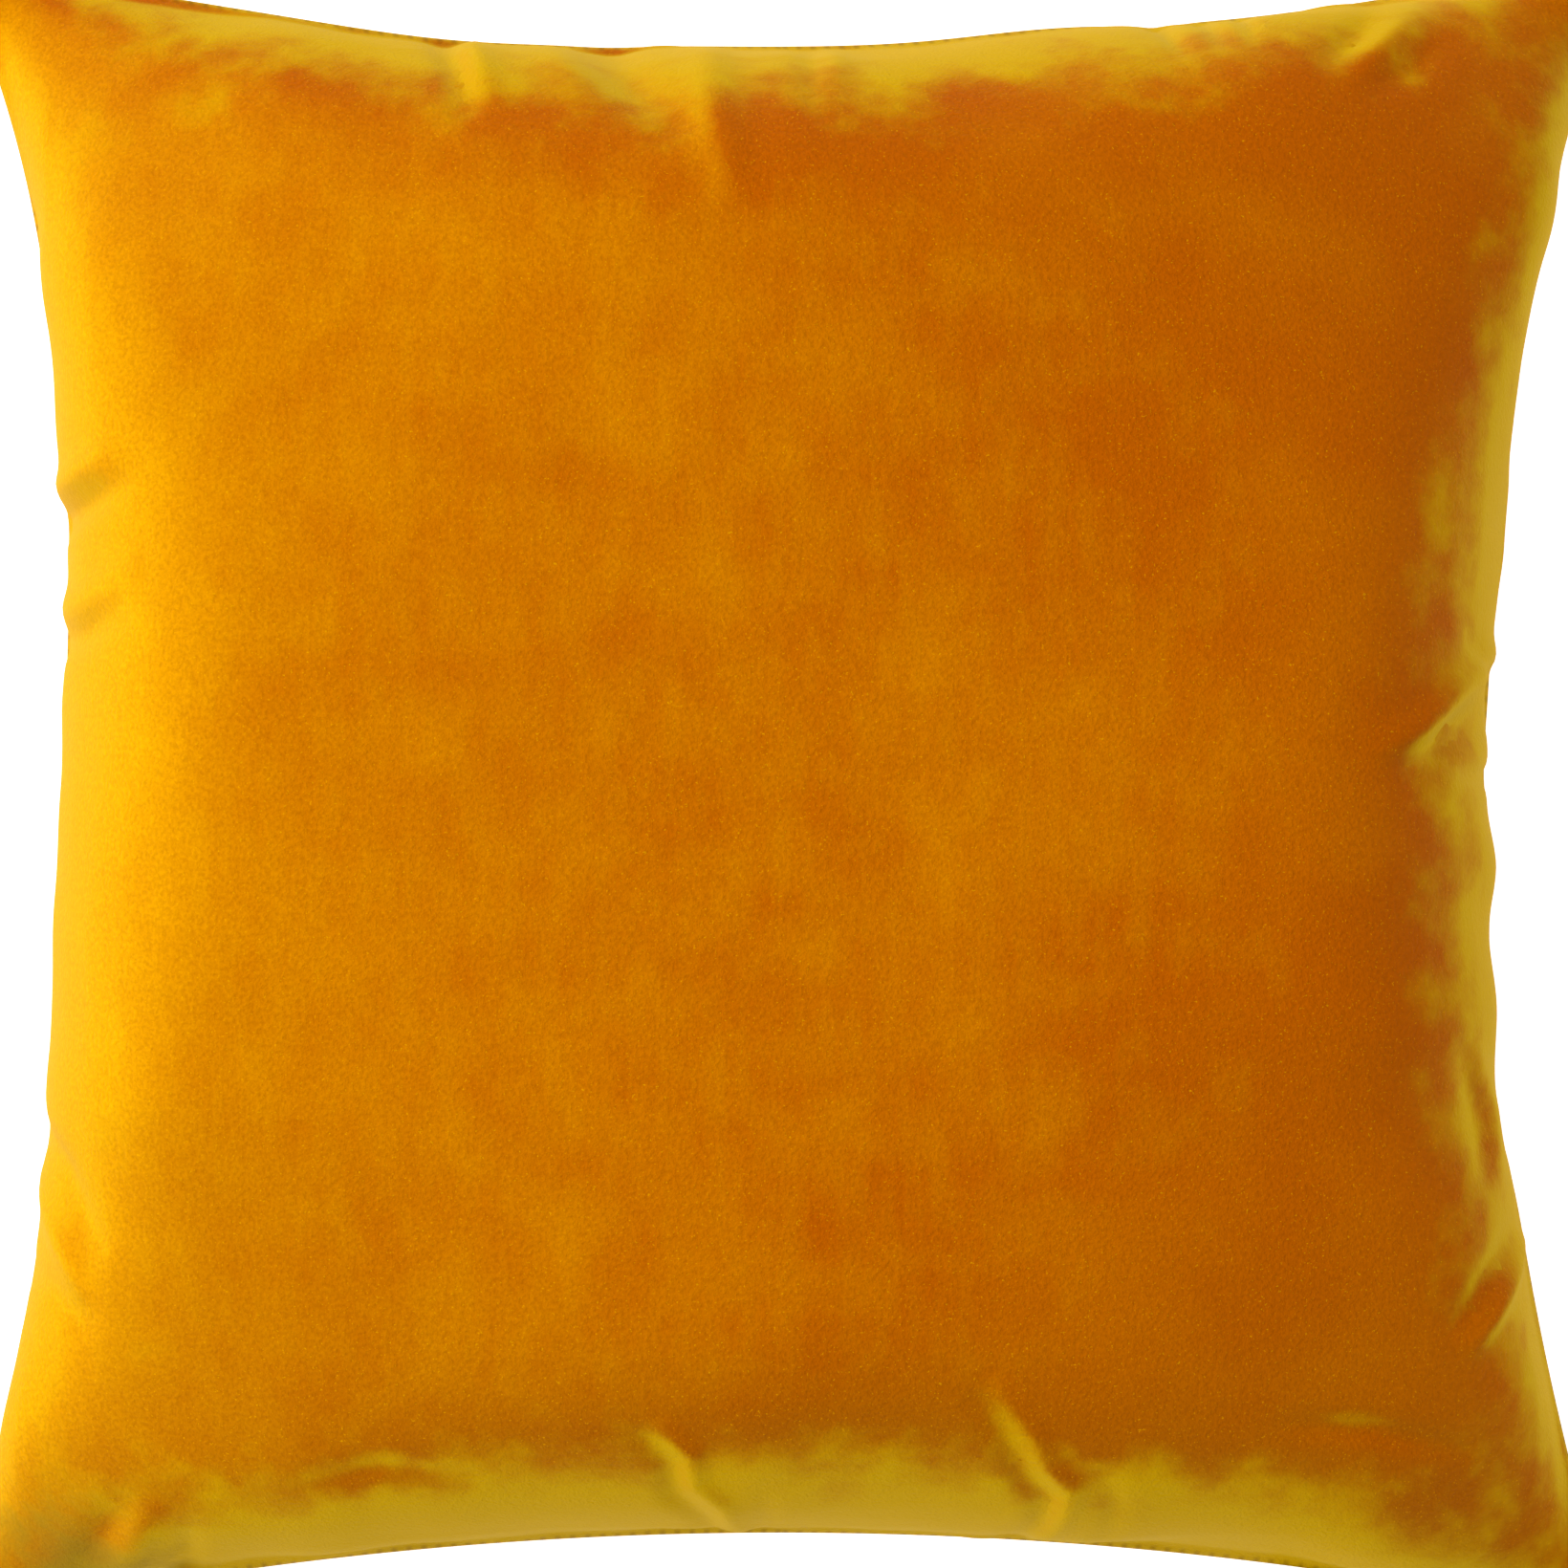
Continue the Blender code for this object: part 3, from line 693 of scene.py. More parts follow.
def add(tree, kind, inputs=(), **settings):
    """A node with its settings, and its inputs set to values or linked to other nodes' outputs."""
    made = tree.nodes.new(kind)
    for key, value in settings.items():
        setattr(made, key, value)
    for key, value in dict(inputs).items():
        if isinstance(value, bpy.types.NodeSocket):
            tree.links.new(value, made.inputs[key])
        else:
            made.inputs[key].default_value = value
    return made


def mix_colour(tree, share, a, b):
    return add(tree, "ShaderNodeMix", {0: share, 6: a, 7: b}, data_type="RGBA", blend_type="MIX").outputs[2]


def maths(tree, operation, *values):
    return add(tree, "ShaderNodeMath", dict(enumerate(values)), operation=operation).outputs[0]


def vectors(tree, operation, *values, scale=None):
    inputs = dict(enumerate(values))
    if scale is not None:
        inputs[3] = scale
    made = add(tree, "ShaderNodeVectorMath", inputs, operation=operation)
    return made.outputs["Value" if operation in ("DOT_PRODUCT", "DISTANCE") else "Vector"]


def remap(tree, value, low, high, to_low=0.0, to_high=1.0, interpolation="LINEAR"):
    inputs = {0: value, 1: low, 2: high, 3: to_low, 4: to_high}
    return add(tree, "ShaderNodeMapRange", inputs, interpolation_type=interpolation).outputs[0]


def noise(tree, place, scale, detail, roughness=0.5):
    inputs = {"Vector": place, "Scale": scale, "Detail": detail, "Roughness": roughness}
    return add(tree, "ShaderNodeTexNoise", inputs).outputs[0]


def object_place(tree):
    return add(tree, "ShaderNodeTexCoord").outputs["Object"]


def bumped(tree, height, distance, strength, **inputs):
    inputs.update(Height=height, Distance=distance, Strength=strength)
    return add(tree, "ShaderNodeBump", inputs).outputs[0]


def dress(shader, looks):
    """Sets or links each of the shader's named inputs."""
    for key, value in looks.items():
        if isinstance(value, bpy.types.NodeSocket):
            shader.id_data.links.new(value, shader.inputs[key])
        else:
            shader.inputs[key].default_value = value


def velvet_material():
    """Silky cotton velvet, woven and sheared: a deep orange face, with painted light turning slopes that face -X
    yellow, painted shade on slopes that face -Y, a painted yellow sheen at grazing angles, painted glints and
    painted shade in the stitch pits.
    """
    material, tree, shader = new_material("mustard_cotton_velvet")
    place = object_place(tree)
    # Pile leaning in soft patches 20 to 60 mm across: brushed one way it is lighter, the other darker
    patches = noise(tree, place, 17.0, 3.0, 0.55)
    lean = remap(tree, patches, 0.42, 0.62)
    # Tufts: the pile stands in locks about 0.8 mm across, drawn a little coarse so that they show
    tufts = noise(tree, place, 900.0, 2.0, 0.6)
    tuft = remap(tree, tufts, 0.3, 0.7)
    glints = noise(tree, place, 1600.0, 1.0)
    glint = remap(tree, glints, 0.66, 0.76)
    facing = add(tree, "ShaderNodeLayerWeight", {"Blend": 0.5}).outputs["Facing"]
    cloud = noise(tree, place, 45.0, 4.0, 0.6)
    shift = maths(tree, "SUBTRACT", cloud, 0.5)
    # Streaks of brushed pile, long along Y
    drawn = add(tree, "ShaderNodeMapping", {"Vector": place, "Scale": (1.0, 0.16, 1.0)}).outputs[0]
    streaks = noise(tree, drawn, 190.0, 4.0, 0.65)
    streak = maths(tree, "SUBTRACT", streaks, 0.5)
    # Painted light: slopes that face -X, towards the key light, are painted lighter and yellower, less so on slopes
    # steep along Y, with the cloud and streak noise mixed in
    normal = add(tree, "ShaderNodeNewGeometry").outputs["Normal"]
    steep = vectors(tree, "ABSOLUTE", normal)
    west = vectors(tree, "DOT_PRODUCT", normal, (-1.0, 0.0, 0.0))
    ends = vectors(tree, "DOT_PRODUCT", steep, (0.0, -0.35, 0.0))
    painted_light_slope = maths(tree, "ADD", west, ends)
    painted_light_amount = maths(tree, "MULTIPLY_ADD", shift, 0.45, painted_light_slope)
    painted_light_amount = maths(tree, "MULTIPLY_ADD", streak, 0.26, painted_light_amount)
    painted_light_share = remap(tree, painted_light_amount, -0.15, 0.72)
    painted_light_and_shade = mix_colour(tree, painted_light_share, srgb("#C25E00"), srgb("#F0AC00"))
    face = mix_colour(tree, lean, painted_light_and_shade, mix_colour(tree, 0.12, painted_light_and_shade, srgb("#F0A000")))
    # Painted shade: slopes that face -Y, away from the light, are painted darker and more olive
    down = vectors(tree, "DOT_PRODUCT", normal, (0.0, -1.0, 0.0))
    painted_shade_down = remap(tree, down, 0.05, 0.55, 0.0, 0.42)
    face = mix_colour(tree, painted_shade_down, face, srgb("#8E6600"))
    face = mix_colour(tree, tuft, mix_colour(tree, 0.32, face, srgb("#8A4000")), face)
    # Painted glints: fine specks mixed towards bright yellow
    face = mix_colour(tree, glint, face, mix_colour(tree, 0.45, face, srgb("#F0B000")))
    # Painted sheen: towards grazing angles the colour turns yellow, sooner where the cloud noise is high, so its
    # border is cloudy, and sooner on slopes that face -Y
    painted_sheen_turn = maths(tree, "MULTIPLY_ADD", shift, 0.9, facing)
    lower = remap(tree, down, 0.3, 0.75, 0.0, 0.22)
    painted_sheen_turn = maths(tree, "ADD", painted_sheen_turn, lower)
    edge = remap(tree, painted_sheen_turn, 0.28, 0.78, interpolation="SMOOTHSTEP")
    # Where the painted light already shows, the painted sheen adds less
    room = remap(tree, painted_light_share, 0.35, 1.0, 1.0, 0.45)
    share = maths(tree, "MULTIPLY", edge, room)
    # The painted sheen is yellow, and a darker olive on slopes that face -Y, which is painted shade
    painted_sheen_colour = mix_colour(tree, lower, srgb("#D4A600"), srgb("#7C6200"))
    colour = mix_colour(tree, share, face, painted_sheen_colour)
    # One corner of the front is crushed, and its pile shows a dull olive there
    gap = vectors(tree, "DISTANCE", place, CRUSHED)
    ragged = maths(tree, "MULTIPLY_ADD", shift, -0.05, gap)
    crushed = remap(tree, ragged, 0.032, 0.012, 0.0, 0.55, interpolation="SMOOTHSTEP")
    colour = mix_colour(tree, crushed, colour, srgb("#866A1C"))
    # Painted shade: close to a seam each stitch draws the pile down into a pit, and the pit is painted dark every 4
    # mm
    cloth = add(tree, "ShaderNodeUVMap", uv_map="cloth").outputs[0]
    centred = vectors(tree, "SUBTRACT", cloth, (0.5, 0.5, 0.0))
    reach = vectors(tree, "ABSOLUTE", centred)
    across = add(tree, "ShaderNodeSeparateXYZ", {0: reach}).outputs
    far = maths(tree, "MAXIMUM", across[0], across[1])
    run = maths(tree, "MINIMUM", across[0], across[1])
    turn = maths(tree, "MULTIPLY", run, 2 * math.pi / STITCH_PITCH)
    wave = maths(tree, "SINE", turn)
    pit_shade_wave = remap(tree, wave, -0.2, 1.0, 0.25, 1.0)
    close = remap(tree, far, FLAT / 2 - 0.0036, FLAT / 2 - 0.0008, 0.0, 0.5, interpolation="SMOOTHSTEP")
    pit_shade = maths(tree, "MULTIPLY", pit_shade_wave, close)
    colour = mix_colour(tree, pit_shade, colour, srgb("#6E4200"))
    soft = bumped(tree, noise(tree, place, 90.0, 3.0), 0.0012, 0.25)
    looks = {
        "Base Color": colour,
        "Roughness": 0.7,
        "Specular IOR Level": 0.03,
        "Specular Tint": srgb("#F6FF00"),
        "Sheen Weight": 0.05,
        "Sheen Roughness": 0.3,
        "Sheen Tint": srgb("#F0F000"),
        "Normal": bumped(tree, tufts, 0.0006, 0.7, Normal=soft),
    }
    dress(shader, looks)
    return material


def woven_material(name, threads_per_metre, light, dark, roughness):
    """A plain weave: threads over and under at that many a metre, with slubs and soft sheen."""
    material, tree, shader = new_material(name)
    place = object_place(tree)
    bands = {"Vector": place, "Scale": threads_per_metre / 2, "Distortion": 0.6, "Detail": 1.0, "Detail Scale": 2.0}
    waves = [add(tree, "ShaderNodeTexWave", bands, bands_direction=way).outputs["Fac"] for way in ("X", "Y")]
    weave = maths(tree, "MULTIPLY", *waves)
    shade = mix_colour(tree, weave, srgb(dark), srgb(light))
    looks = {
        "Base Color": mix_colour(tree, noise(tree, place, 260.0, 3.0), shade, srgb(light)),
        "Roughness": roughness,
        "Specular IOR Level": 0.25,
        "Sheen Weight": 0.2,
        "Normal": bumped(tree, weave, 0.0002, 0.6),
    }
    dress(shader, looks)
    return material


def thread_material(name, light, dark):
    """Spun polyester sewing thread, mottled by its fibres."""
    material, tree, shader = new_material(name)
    fibres = noise(tree, object_place(tree), 2600.0, 2.0)
    looks = {
        "Base Color": mix_colour(tree, fibres, srgb(dark), srgb(light)),
        "Roughness": 0.65,
        "Specular IOR Level": 0.3,
        "Normal": bumped(tree, fibres, 0.0001, 0.5),
    }
    dress(shader, looks)
    return material


def coil_material():
    """Dyed nylon monofilament, drawn and wound: smooth, with a soft gloss."""
    material, tree, shader = new_material("dyed_nylon_monofilament")
    dye = noise(tree, object_place(tree), 320.0, 2.0)
    colour = mix_colour(tree, dye, srgb("#B06808"), srgb("#CC8412"))
    dress(shader, {"Base Color": colour, "Roughness": 0.32, "IOR": 1.53})
    return material


def enamel_material():
    """Stoved enamel on die-cast zinc: an even, slightly orange-peeled coat."""
    material, tree, shader = new_material("stoved_enamel_on_zinc")
    place = object_place(tree)
    peel = noise(tree, place, 1400.0, 1.0)
    rub = noise(tree, place, 500.0, 4.0)
    worn = remap(tree, rub, 0.6, 0.8, 0.0, 0.35)
    looks = {
        "Base Color": mix_colour(tree, worn, srgb("#B07008"), srgb("#7E4E08")),
        "Specular IOR Level": 0.25,
        "Roughness": remap(tree, rub, 0.0, 1.0, 0.26, 0.42),
        "Normal": bumped(tree, peel, 0.00004, 0.4),
    }
    dress(shader, looks)
    return material


def fibre_material():
    """Loose hollow polyester fibre: matt white and cloudy."""
    material, tree, shader = new_material("siliconised_hollowfibre")
    clumps = noise(tree, object_place(tree), 60.0, 6.0, 0.7)
    looks = {
        "Base Color": mix_colour(tree, clumps, srgb("#E4E4E0"), srgb("#FAFAF8")),
        "Roughness": 0.95,
        "Sheen Weight": 0.4,
        "Normal": bumped(tree, clumps, 0.004, 0.7),
    }
    dress(shader, looks)
    return material


def stage_material():
    """A backlit white acrylic sheet: bright enough to print as clean white."""
    material, _, shader = new_material("backlit_white_acrylic")
    white = (1.0, 1.0, 1.0, 1.0)
    looks = {"Base Color": srgb("#F4F4F2"), "Roughness": 0.6, "Emission Color": white, "Emission Strength": 0.8}
    dress(shader, looks)
    return material


# ---- threads, coils, tapes and labels


def new_tree(name, sizes):
    """A geometry tree with a named size for each entry, a material, and one mesh in and out."""
    tree = bpy.data.node_groups.new(name, "GeometryNodeTree")
    tree.interface.new_socket("Geometry", in_out="INPUT", socket_type="NodeSocketGeometry")
    for size in sizes:
        tree.interface.new_socket(size, in_out="INPUT", socket_type="NodeSocketFloat")
    tree.interface.new_socket("Material", in_out="INPUT", socket_type="NodeSocketMaterial")
    tree.interface.new_socket("Geometry", in_out="OUTPUT", socket_type="NodeSocketGeometry")
    return tree, add(tree, "NodeGroupInput").outputs, add(tree, "NodeGroupOutput")


def threaded(tree, path, radius):
    """A round thread along a path, with closed ends."""
    profile = add(tree, "GeometryNodeCurvePrimitiveCircle", {"Resolution": 6, "Radius": radius}).outputs[0]
    inputs = {"Curve": path, "Profile Curve": profile, "Fill Caps": True}
    return add(tree, "GeometryNodeCurveToMesh", inputs).outputs[0]


def finished_tree(tree, geometry, given, result):
    real = add(tree, "GeometryNodeRealizeInstances", {"Geometry": geometry}).outputs[0]
    looked = add(tree, "GeometryNodeSetMaterial", {"Geometry": real, "Material": given["Material"]})
    tree.links.new(looked.outputs[0], result.inputs[0])
    return tree


def stitch_row_tree():
    """Short rounded stitches laid end to end along a path."""
    tree, given, result = new_tree("stitch_row", ("Pitch", "Stitch length", "Thread radius", "Arch"))
    path = add(tree, "GeometryNodeMeshToCurve", {"Mesh": given["Geometry"]}).outputs[0]
    spaced = add(tree, "GeometryNodeResampleCurve", {"Curve": path, "Length": given["Pitch"]}, mode="LENGTH")
    half = maths(tree, "MULTIPLY", given["Stitch length"], 0.5)
    back = maths(tree, "MULTIPLY", half, -1.0)
    dip = maths(tree, "MULTIPLY", given["Arch"], -1.0)
    start = add(tree, "ShaderNodeCombineXYZ", {0: back, 2: dip}).outputs[0]
    top = add(tree, "ShaderNodeCombineXYZ", {2: given["Arch"]}).outputs[0]
    end = add(tree, "ShaderNodeCombineXYZ", {0: half, 2: dip}).outputs[0]
    ends = {"Resolution": 5, "Start": start, "Middle": top, "End": end}
    arch = add(tree, "GeometryNodeCurveQuadraticBezier", ends)
    stitch = threaded(tree, arch.outputs[0], given["Thread radius"])
    tangent = add(tree, "GeometryNodeInputTangent").outputs[0]
    turn = add(tree, "FunctionNodeAlignEulerToVector", {"Vector": tangent}, axis="X", pivot_axis="Z").outputs[0]
    inputs = {"Points": spaced.outputs[0], "Instance": stitch, "Rotation": turn}
    row = add(tree, "GeometryNodeInstanceOnPoints", inputs).outputs[0]
    return finished_tree(tree, row, given, result)


def wound_coil_tree():
    """One filament wound round a path, a turn for every tooth."""
    tree, given, result = new_tree("wound_coil", ("Pitch", "Coil radius", "Filament radius"))
    path = add(tree, "GeometryNodeMeshToCurve", {"Mesh": given["Geometry"]}).outputs[0]
    step = maths(tree, "DIVIDE", given["Pitch"], 12.0)
    spaced = add(tree, "GeometryNodeResampleCurve", {"Curve": path, "Length": step}, mode="LENGTH")
    length = add(tree, "GeometryNodeSplineParameter").outputs["Length"]
    turns = maths(tree, "DIVIDE", length, given["Pitch"])
    angle = maths(tree, "MULTIPLY", turns, 2 * math.pi)
    across = maths(tree, "COSINE", angle)
    upward = maths(tree, "SINE", angle)
    tangent = add(tree, "GeometryNodeInputTangent").outputs[0]
    side = vectors(tree, "CROSS_PRODUCT", tangent, (0.0, 0.0, 1.0))
    out = vectors(tree, "SCALE", side, scale=across)
    rise = add(tree, "ShaderNodeCombineXYZ", {2: upward}).outputs[0]
    whole = vectors(tree, "ADD", out, rise)
    offset = vectors(tree, "SCALE", whole, scale=given["Coil radius"])
    wound = add(tree, "GeometryNodeSetPosition", {"Geometry": spaced.outputs[0], "Offset": offset}).outputs[0]
    return finished_tree(tree, threaded(tree, wound, given["Filament radius"]), given, result)


def baked(piece):
    """The mesh that a piece's modifiers make, in place of the piece."""
    graph = bpy.context.evaluated_depsgraph_get()
    mesh = bpy.data.meshes.new_from_object(piece.evaluated_get(graph))
    bpy.data.objects.remove(piece)
    return mesh


def along_path(name, points, tree, material, **sizes):
    """The tree's mesh along a path, as a plain mesh."""
    mesh = bpy.data.meshes.new(name)
    mesh.from_pydata([tuple(p) for p in points], [(k, k + 1) for k in range(len(points) - 1)], [])
    guide = linked(bpy.data.objects.new(name, mesh))
    nodes = guide.modifiers.new("nodes", "NODES")
    nodes.node_group = tree
    given = {"material": material, **sizes}
    for item in tree.interface.items_tree:
        key = item.name.replace(" ", "_").lower()
        if item.in_out == "INPUT" and key in given:
            nodes[item.identifier] = given[key]
    made = baked(guide)
    bm = bmesh.new()
    bm.from_mesh(made)
    bmesh.ops.remove_doubles(bm, verts=bm.verts, dist=1e-7)
    bmesh.ops.recalc_face_normals(bm, faces=bm.faces)
    bm.to_mesh(made)
    bm.free()
    made.shade_smooth()
    return linked(bpy.data.objects.new(name, made))


def sewn(name, run, sewing, pitch, length, arch, radius=THREAD_RADIUS):
    """A row of stitches along a run, each a little longer than their pitch so that they meet."""
    sizes = {"pitch": pitch, "stitch_length": length, "thread_radius": radius, "arch": arch}
    return along_path(name, run, STITCH_ROW, sewing, **sizes)


def on_chain(angle, s, z):
    """The point of the zipped seam's arc at that angle from its middle."""
    reach = ARC_RADIUS + s
    return Vector((reach * math.sin(angle), TRACK[1] + reach * math.cos(angle), SEAM_Z + z))


def chain_path(s, z, half_length, count):
    half = half_length / ARC_RADIUS
    return [on_chain(half * (2 * k / (count - 1) - 1), s, z) for k in range(count)]


def strip(name, rows, cloth, material):
    """A thin woven strip through rows of points, with an even thickness and eased bends."""
    count, across = len(rows), len(rows[0])
    verts = np.array([[tuple(p) for p in row] for row in rows]).reshape(-1, 3)
    piece = mesh_object(name, verts, quads(np.arange(count * across).reshape(count, across)), material)
    solidify = piece.modifiers.new("cloth", "SOLIDIFY")
    solidify.thickness = cloth
    solidify.offset = 0
    solidify.use_even_offset = True
    made = baked(piece)
    made.name = name
    return linked(bpy.data.objects.new(name, made))


def eased_copy(node, width, material):
    """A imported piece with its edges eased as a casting's are."""
    mesh = frame["nodes"][node].data.copy()
    bm = bmesh.new()
    bm.from_mesh(mesh)
    bmesh.ops.remove_doubles(bm, verts=bm.verts, dist=1e-6)
    bmesh.ops.dissolve_limit(bm, angle_limit=math.radians(1), verts=bm.verts, edges=bm.edges)
    sharp = [edge for edge in bm.edges if edge.is_manifold and edge.calc_face_angle(0) > math.radians(35)]
    bmesh.ops.bevel(
        bm, geom=sharp, offset=width, segments=2, profile=0.5, affect="EDGES", clamp_overlap=True
    )
    bmesh.ops.dissolve_degenerate(bm, edges=bm.edges, dist=1e-7)
    bm.to_mesh(mesh)
    bm.free()
    mesh.shade_smooth()
    mesh.set_sharp_from_angle(angle=math.radians(50))
    mesh.materials.clear()
    mesh.materials.append(material)
    return linked(bpy.data.objects.new("eased_" + node, mesh))


def curl(points, steps):
    """A soft curve through a few points of a section."""
    knots = np.array(points, float)
    padded = np.concatenate([2 * knots[:1] - knots[1:2], knots, 2 * knots[-1:] - knots[-2:-1]])
    found = []
    for k in range(len(knots) - 1):
        a, b, c, d = padded[k : k + 4]
        for t in np.arange(steps) / steps:
            found.append(
                0.5 * (2 * b + (c - a) * t + (2 * a - 5 * b + 4 * c - d) * t**2 + (3 * b - a - 3 * c + d) * t**3)
            )
    return np.array(found + [knots[-1]])


def sewn_run(outline, s, z):
    """A path inside the outline by s: up the right seam, along the top and down the left one."""
    place = (outline + inward(outline) * s)[len(outline) // 4 :]
    gaps = np.hypot(*(place[:, None] - outline[None]).transpose(2, 0, 1)).min(1)
    place = place[gaps > 0.96 * s]
    return np.column_stack([place, np.full(len(place), SEAM_Z + z)])


# ---- the insert


def insert_surface(shape, side, cells, inset, less, edge, lumps):
    """The stuffed insert's surface: the cover's own shape, smaller, so that its seam lies further in."""
    lines = crowded(cells)
    u, v = square(lines)
    surface = fine_grid(shape, lines)
    surface[..., :2] *= 1 - inset / HALF
    surface[..., 2] *= 1 - less / (TOP_Z - SEAM_Z)
    far = seam_distance(u, v)
    rise = (0.4 * seam_puckers(u, v, 31 if side > 0 else 47) + lumps) * smooth(far / 0.012)
    surface = surface + normals(surface, side) * np.minimum(rise, 0.0004)[..., None]
    surface[..., 2] += side * edge * np.exp(-((far / 0.005) ** 2)) + SEAM_Z
    if side < 0:
        surface[..., 2] = pressed_flat(surface[..., 2], less)
    return surface, lines


# ---- the cover and the insert

velvet = velvet_material()
sewing = thread_material("mustard_polyester_thread", "#C88A28", "#96600E")
white_sewing = thread_material("white_polyester_thread", "#F4F2EA", "#CFCBC0")
tape_weave = woven_material("knitted_polyester_tape", 1800.0, "#C08420", "#8A5A0C", 0.75)
ticking = woven_material("plain_woven_cotton_ticking", 2200.0, "#F2EEE4", "#CFC9BC", 0.9)
satin = woven_material("white_satin_ribbon", 4000.0, "#F6F4EE", "#DAD6CC", 0.45)
coil_nylon = coil_material()
enamel = enamel_material()
fibre = fibre_material()

front_shape, back_shape = cover_shapes()
lines = crowded(FINE_CELLS)
made = {}
velvet_section = rolled_edge(VELVET_EDGE, VELVET_ROLL, ALLOWANCE, 1.0)
for node, side, shape in (("front_panel", 1, front_shape), ("back_panel", -1, back_shape)):
    surface = dome(shape, side, lines, DOME_EDGE)
    made[node] = panel("velvet_" + node, side, surface, lines, velvet_section, VELVET, LINING_STEP, velvet)
cover_outline = ring(surface)[:, :2]

casing_section = rolled_edge(TICKING_EDGE, TICKING_ROLL, INSERT_ALLOWANCE, 0.0)
for node, side, shape in (("insert_casing_front", 1, front_shape), ("insert_casing_back", -1, back_shape)):
    surface, casing_lines = insert_surface(shape, side, CASING_CELLS, INSERT_INSET, CASING_LESS, CASING_DOME, 0.0)
    made[node] = panel("ticking_" + node, side, surface, casing_lines, casing_section, TICKING, 4, ticking)
casing_outline = ring(surface)[:, :2]

clumps = lumpiness(CASING_CELLS)
halves = []
for side, shape in ((1, front_shape), (-1, back_shape)):
    inset = INSERT_INSET + FILL_INSET
    half, _ = insert_surface(shape, side, CASING_CELLS, inset, FILL_LESS, 0.0, clumps[::side] - 0.0006)
    halves.append(half)
made["fill_core"] = stuffing("stuffing", halves[0], halves[1], fibre)

STITCH_ROW = stitch_row_tree()
WOUND_COIL = wound_coil_tree()
z = SEAM_GAP + VELVET + CLEAR + THREAD_RADIUS
for node, side in (("seam_needle_thread", 1), ("seam_bobbin_thread", -1)):
    run = sewn_run(cover_outline, STITCH_S, side * z)
    made[node] = sewn("stitches_" + node, run, sewing, STITCH_PITCH, 0.0042, side * STITCH_ARCH)
z = SEAM_GAP + TICKING + CLEAR + THREAD_RADIUS
run = sewn_run(casing_outline, INSERT_STITCH_S, z)
made["insert_seam_thread"] = sewn("stitches_insert_seam", run, white_sewing, 0.0028, 0.003, STITCH_ARCH)
xs = np.linspace(-CLOSING_HALF, CLOSING_HALF, 45)
edge_x, edge_y = casing_outline.T
near_edge = edge_y[(np.abs(edge_x - xs[:, None]) + (edge_y > 0)).argmin(1)]
run = np.column_stack([xs, near_edge - CLEAR - THREAD_RADIUS, np.full(45, SEAM_Z)])
made["insert_closing_stitch"] = sewn(
    "stitches_insert_closing", run, white_sewing, 0.0035, 0.0037, 0.0001, THREAD_RADIUS * 1.2
)

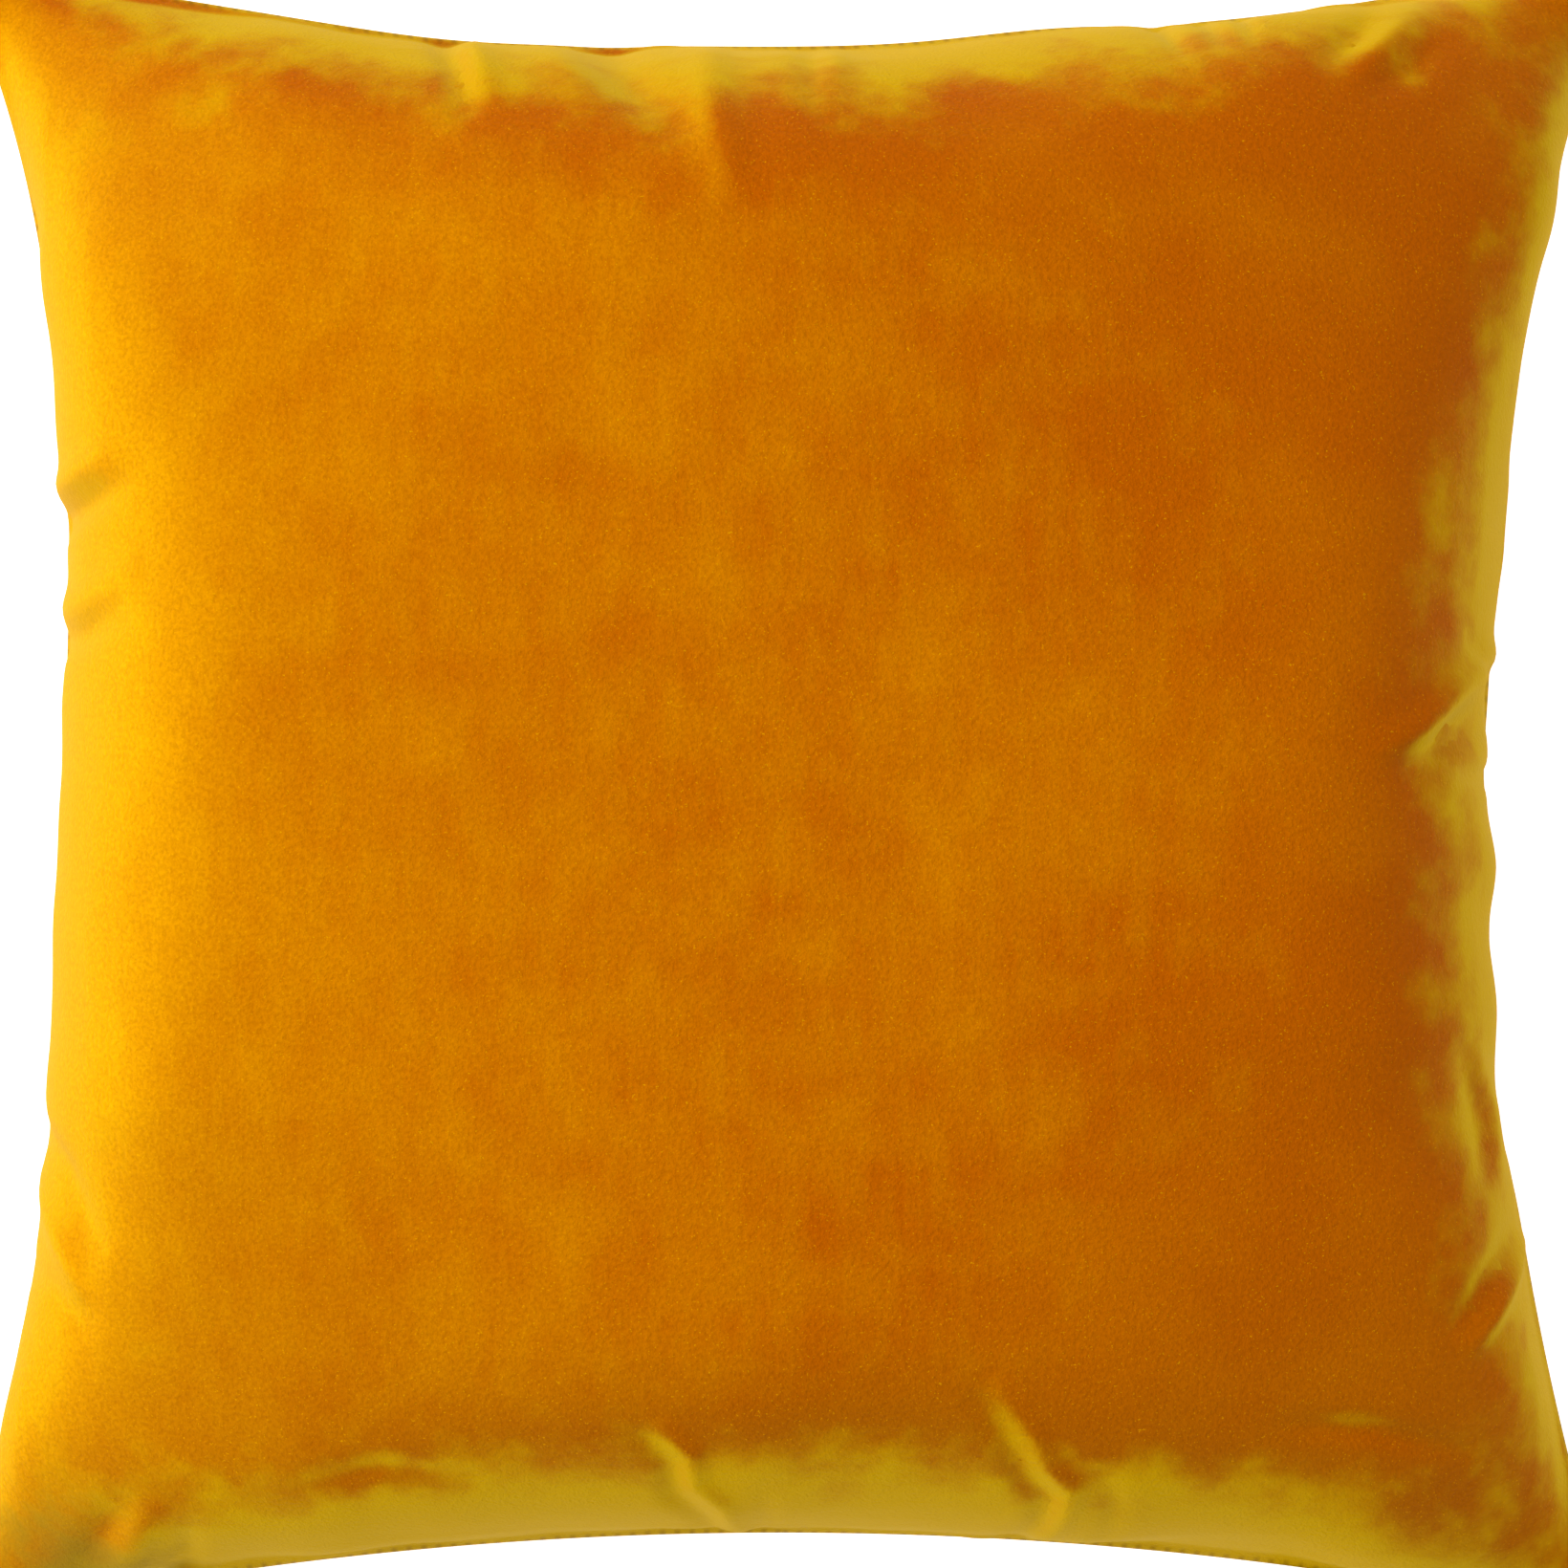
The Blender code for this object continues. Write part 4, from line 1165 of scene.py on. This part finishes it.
# The zip: two tapes, each folded round its coil and sewn to its own allowance
bend_s = COIL_S + 6 * COIL_RADIUS
fold = [(COIL_S + COIL_RADIUS + CLEAR + TAPE / 2, COIL_Z)]
section = curl(fold + [(s, tape_height(s)) for s in (bend_s, TAPE_S)], 6)
turns = np.linspace(-1, 1, 121) * TAPE_LENGTH / 2 / ARC_RADIUS
wound = {"pitch": TOOTH_PITCH, "coil_radius": COIL_RADIUS - FILAMENT, "filament_radius": FILAMENT}
for side, half in ((1, "front"), (-1, "back")):
    rows = [[on_chain(angle, s, side * z) for s, z in section] for angle in turns]
    made["zip_tape_" + half] = strip("tape_" + half, rows[::-side], TAPE, tape_weave)
    path = chain_path(COIL_S, side * COIL_Z, ZIP_HALF, 240)
    made["zip_coil_" + half] = along_path("coil_" + half, path, WOUND_COIL, coil_nylon, **wound)
    z = side * tape_height(ZIP_STITCH_S, TAPE / 2 + CLEAR + THREAD_RADIUS)
    path = chain_path(ZIP_STITCH_S, z, ZIP_HALF, 160)
    made["zip_stitch_" + half] = sewn("stitches_zip_" + half, path, sewing, 0.0030, 0.0032, side * -STITCH_ARCH)
    made["zip_top_stop_" + half] = eased_copy("zip_top_stop_" + half, STOP_EASE, enamel)
made["zip_bottom_stop"] = eased_copy("zip_bottom_stop", STOP_EASE, enamel)
for node in ("zip_slider_body", "zip_pull_tab"):
    made[node] = eased_copy(node, SLIDER_EASE, enamel)

made["care_label"], care_flat = label_strip("label_care", "care_label", LABEL, satin)
made["insert_label"], insert_flat = label_strip("label_insert", "insert_label", LABEL, satin)

BODY_OF = {node: body for body, nodes in frame["record"]["behaviour"]["bodies"].items() for node in nodes}
for node, piece in made.items():
    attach(piece, BODY_OF[node])
    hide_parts(node)


# ---- the stage, the light and the camera


def add_light(name, place, target, size, power, colour):
    light = bpy.data.lights.new(name, "AREA")
    light.shape = "RECTANGLE"
    light.size, light.size_y = size
    light.energy = power
    light.color = colour
    lamp = linked(bpy.data.objects.new(name, light))
    lamp.location = place
    lamp.rotation_euler = (Vector(target) - Vector(place)).to_track_quat("-Z", "Y").to_euler()
    return lamp


bm = bmesh.new()
bmesh.ops.create_grid(bm, x_segments=1, y_segments=1, size=4.0)
floor_mesh = bpy.data.meshes.new("floor")
bm.to_mesh(floor_mesh)
bm.free()
floor_mesh.materials.append(stage_material())
floor_mesh.transform(Matrix.Translation((0, 0, -FLOOR_DROP)))
linked(bpy.data.objects.new("floor", floor_mesh))

world = bpy.data.worlds.new("studio")
world.use_nodes = True
world.node_tree.nodes["Background"].inputs["Color"].default_value = (1.0, 1.0, 1.0, 1.0)
world.node_tree.nodes["Background"].inputs["Strength"].default_value = ROOM_LIGHT
bpy.context.scene.world = world
add_light("key", KEY_PLACE, (0, 0, 0.1), (1.0, 1.4), KEY_WATTS, (1.0, 0.98, 0.95))

camera_data = bpy.data.cameras.new("camera")
camera_data.lens = 100.0
camera = linked(bpy.data.objects.new("camera", camera_data))
distance = FRAME_WIDTH * camera_data.lens / camera_data.sensor_width
camera.location = (0.00075, 0.0013, SEAM_Z + distance)
bpy.context.scene.camera = camera
bpy.context.scene.view_settings.view_transform = "Standard"
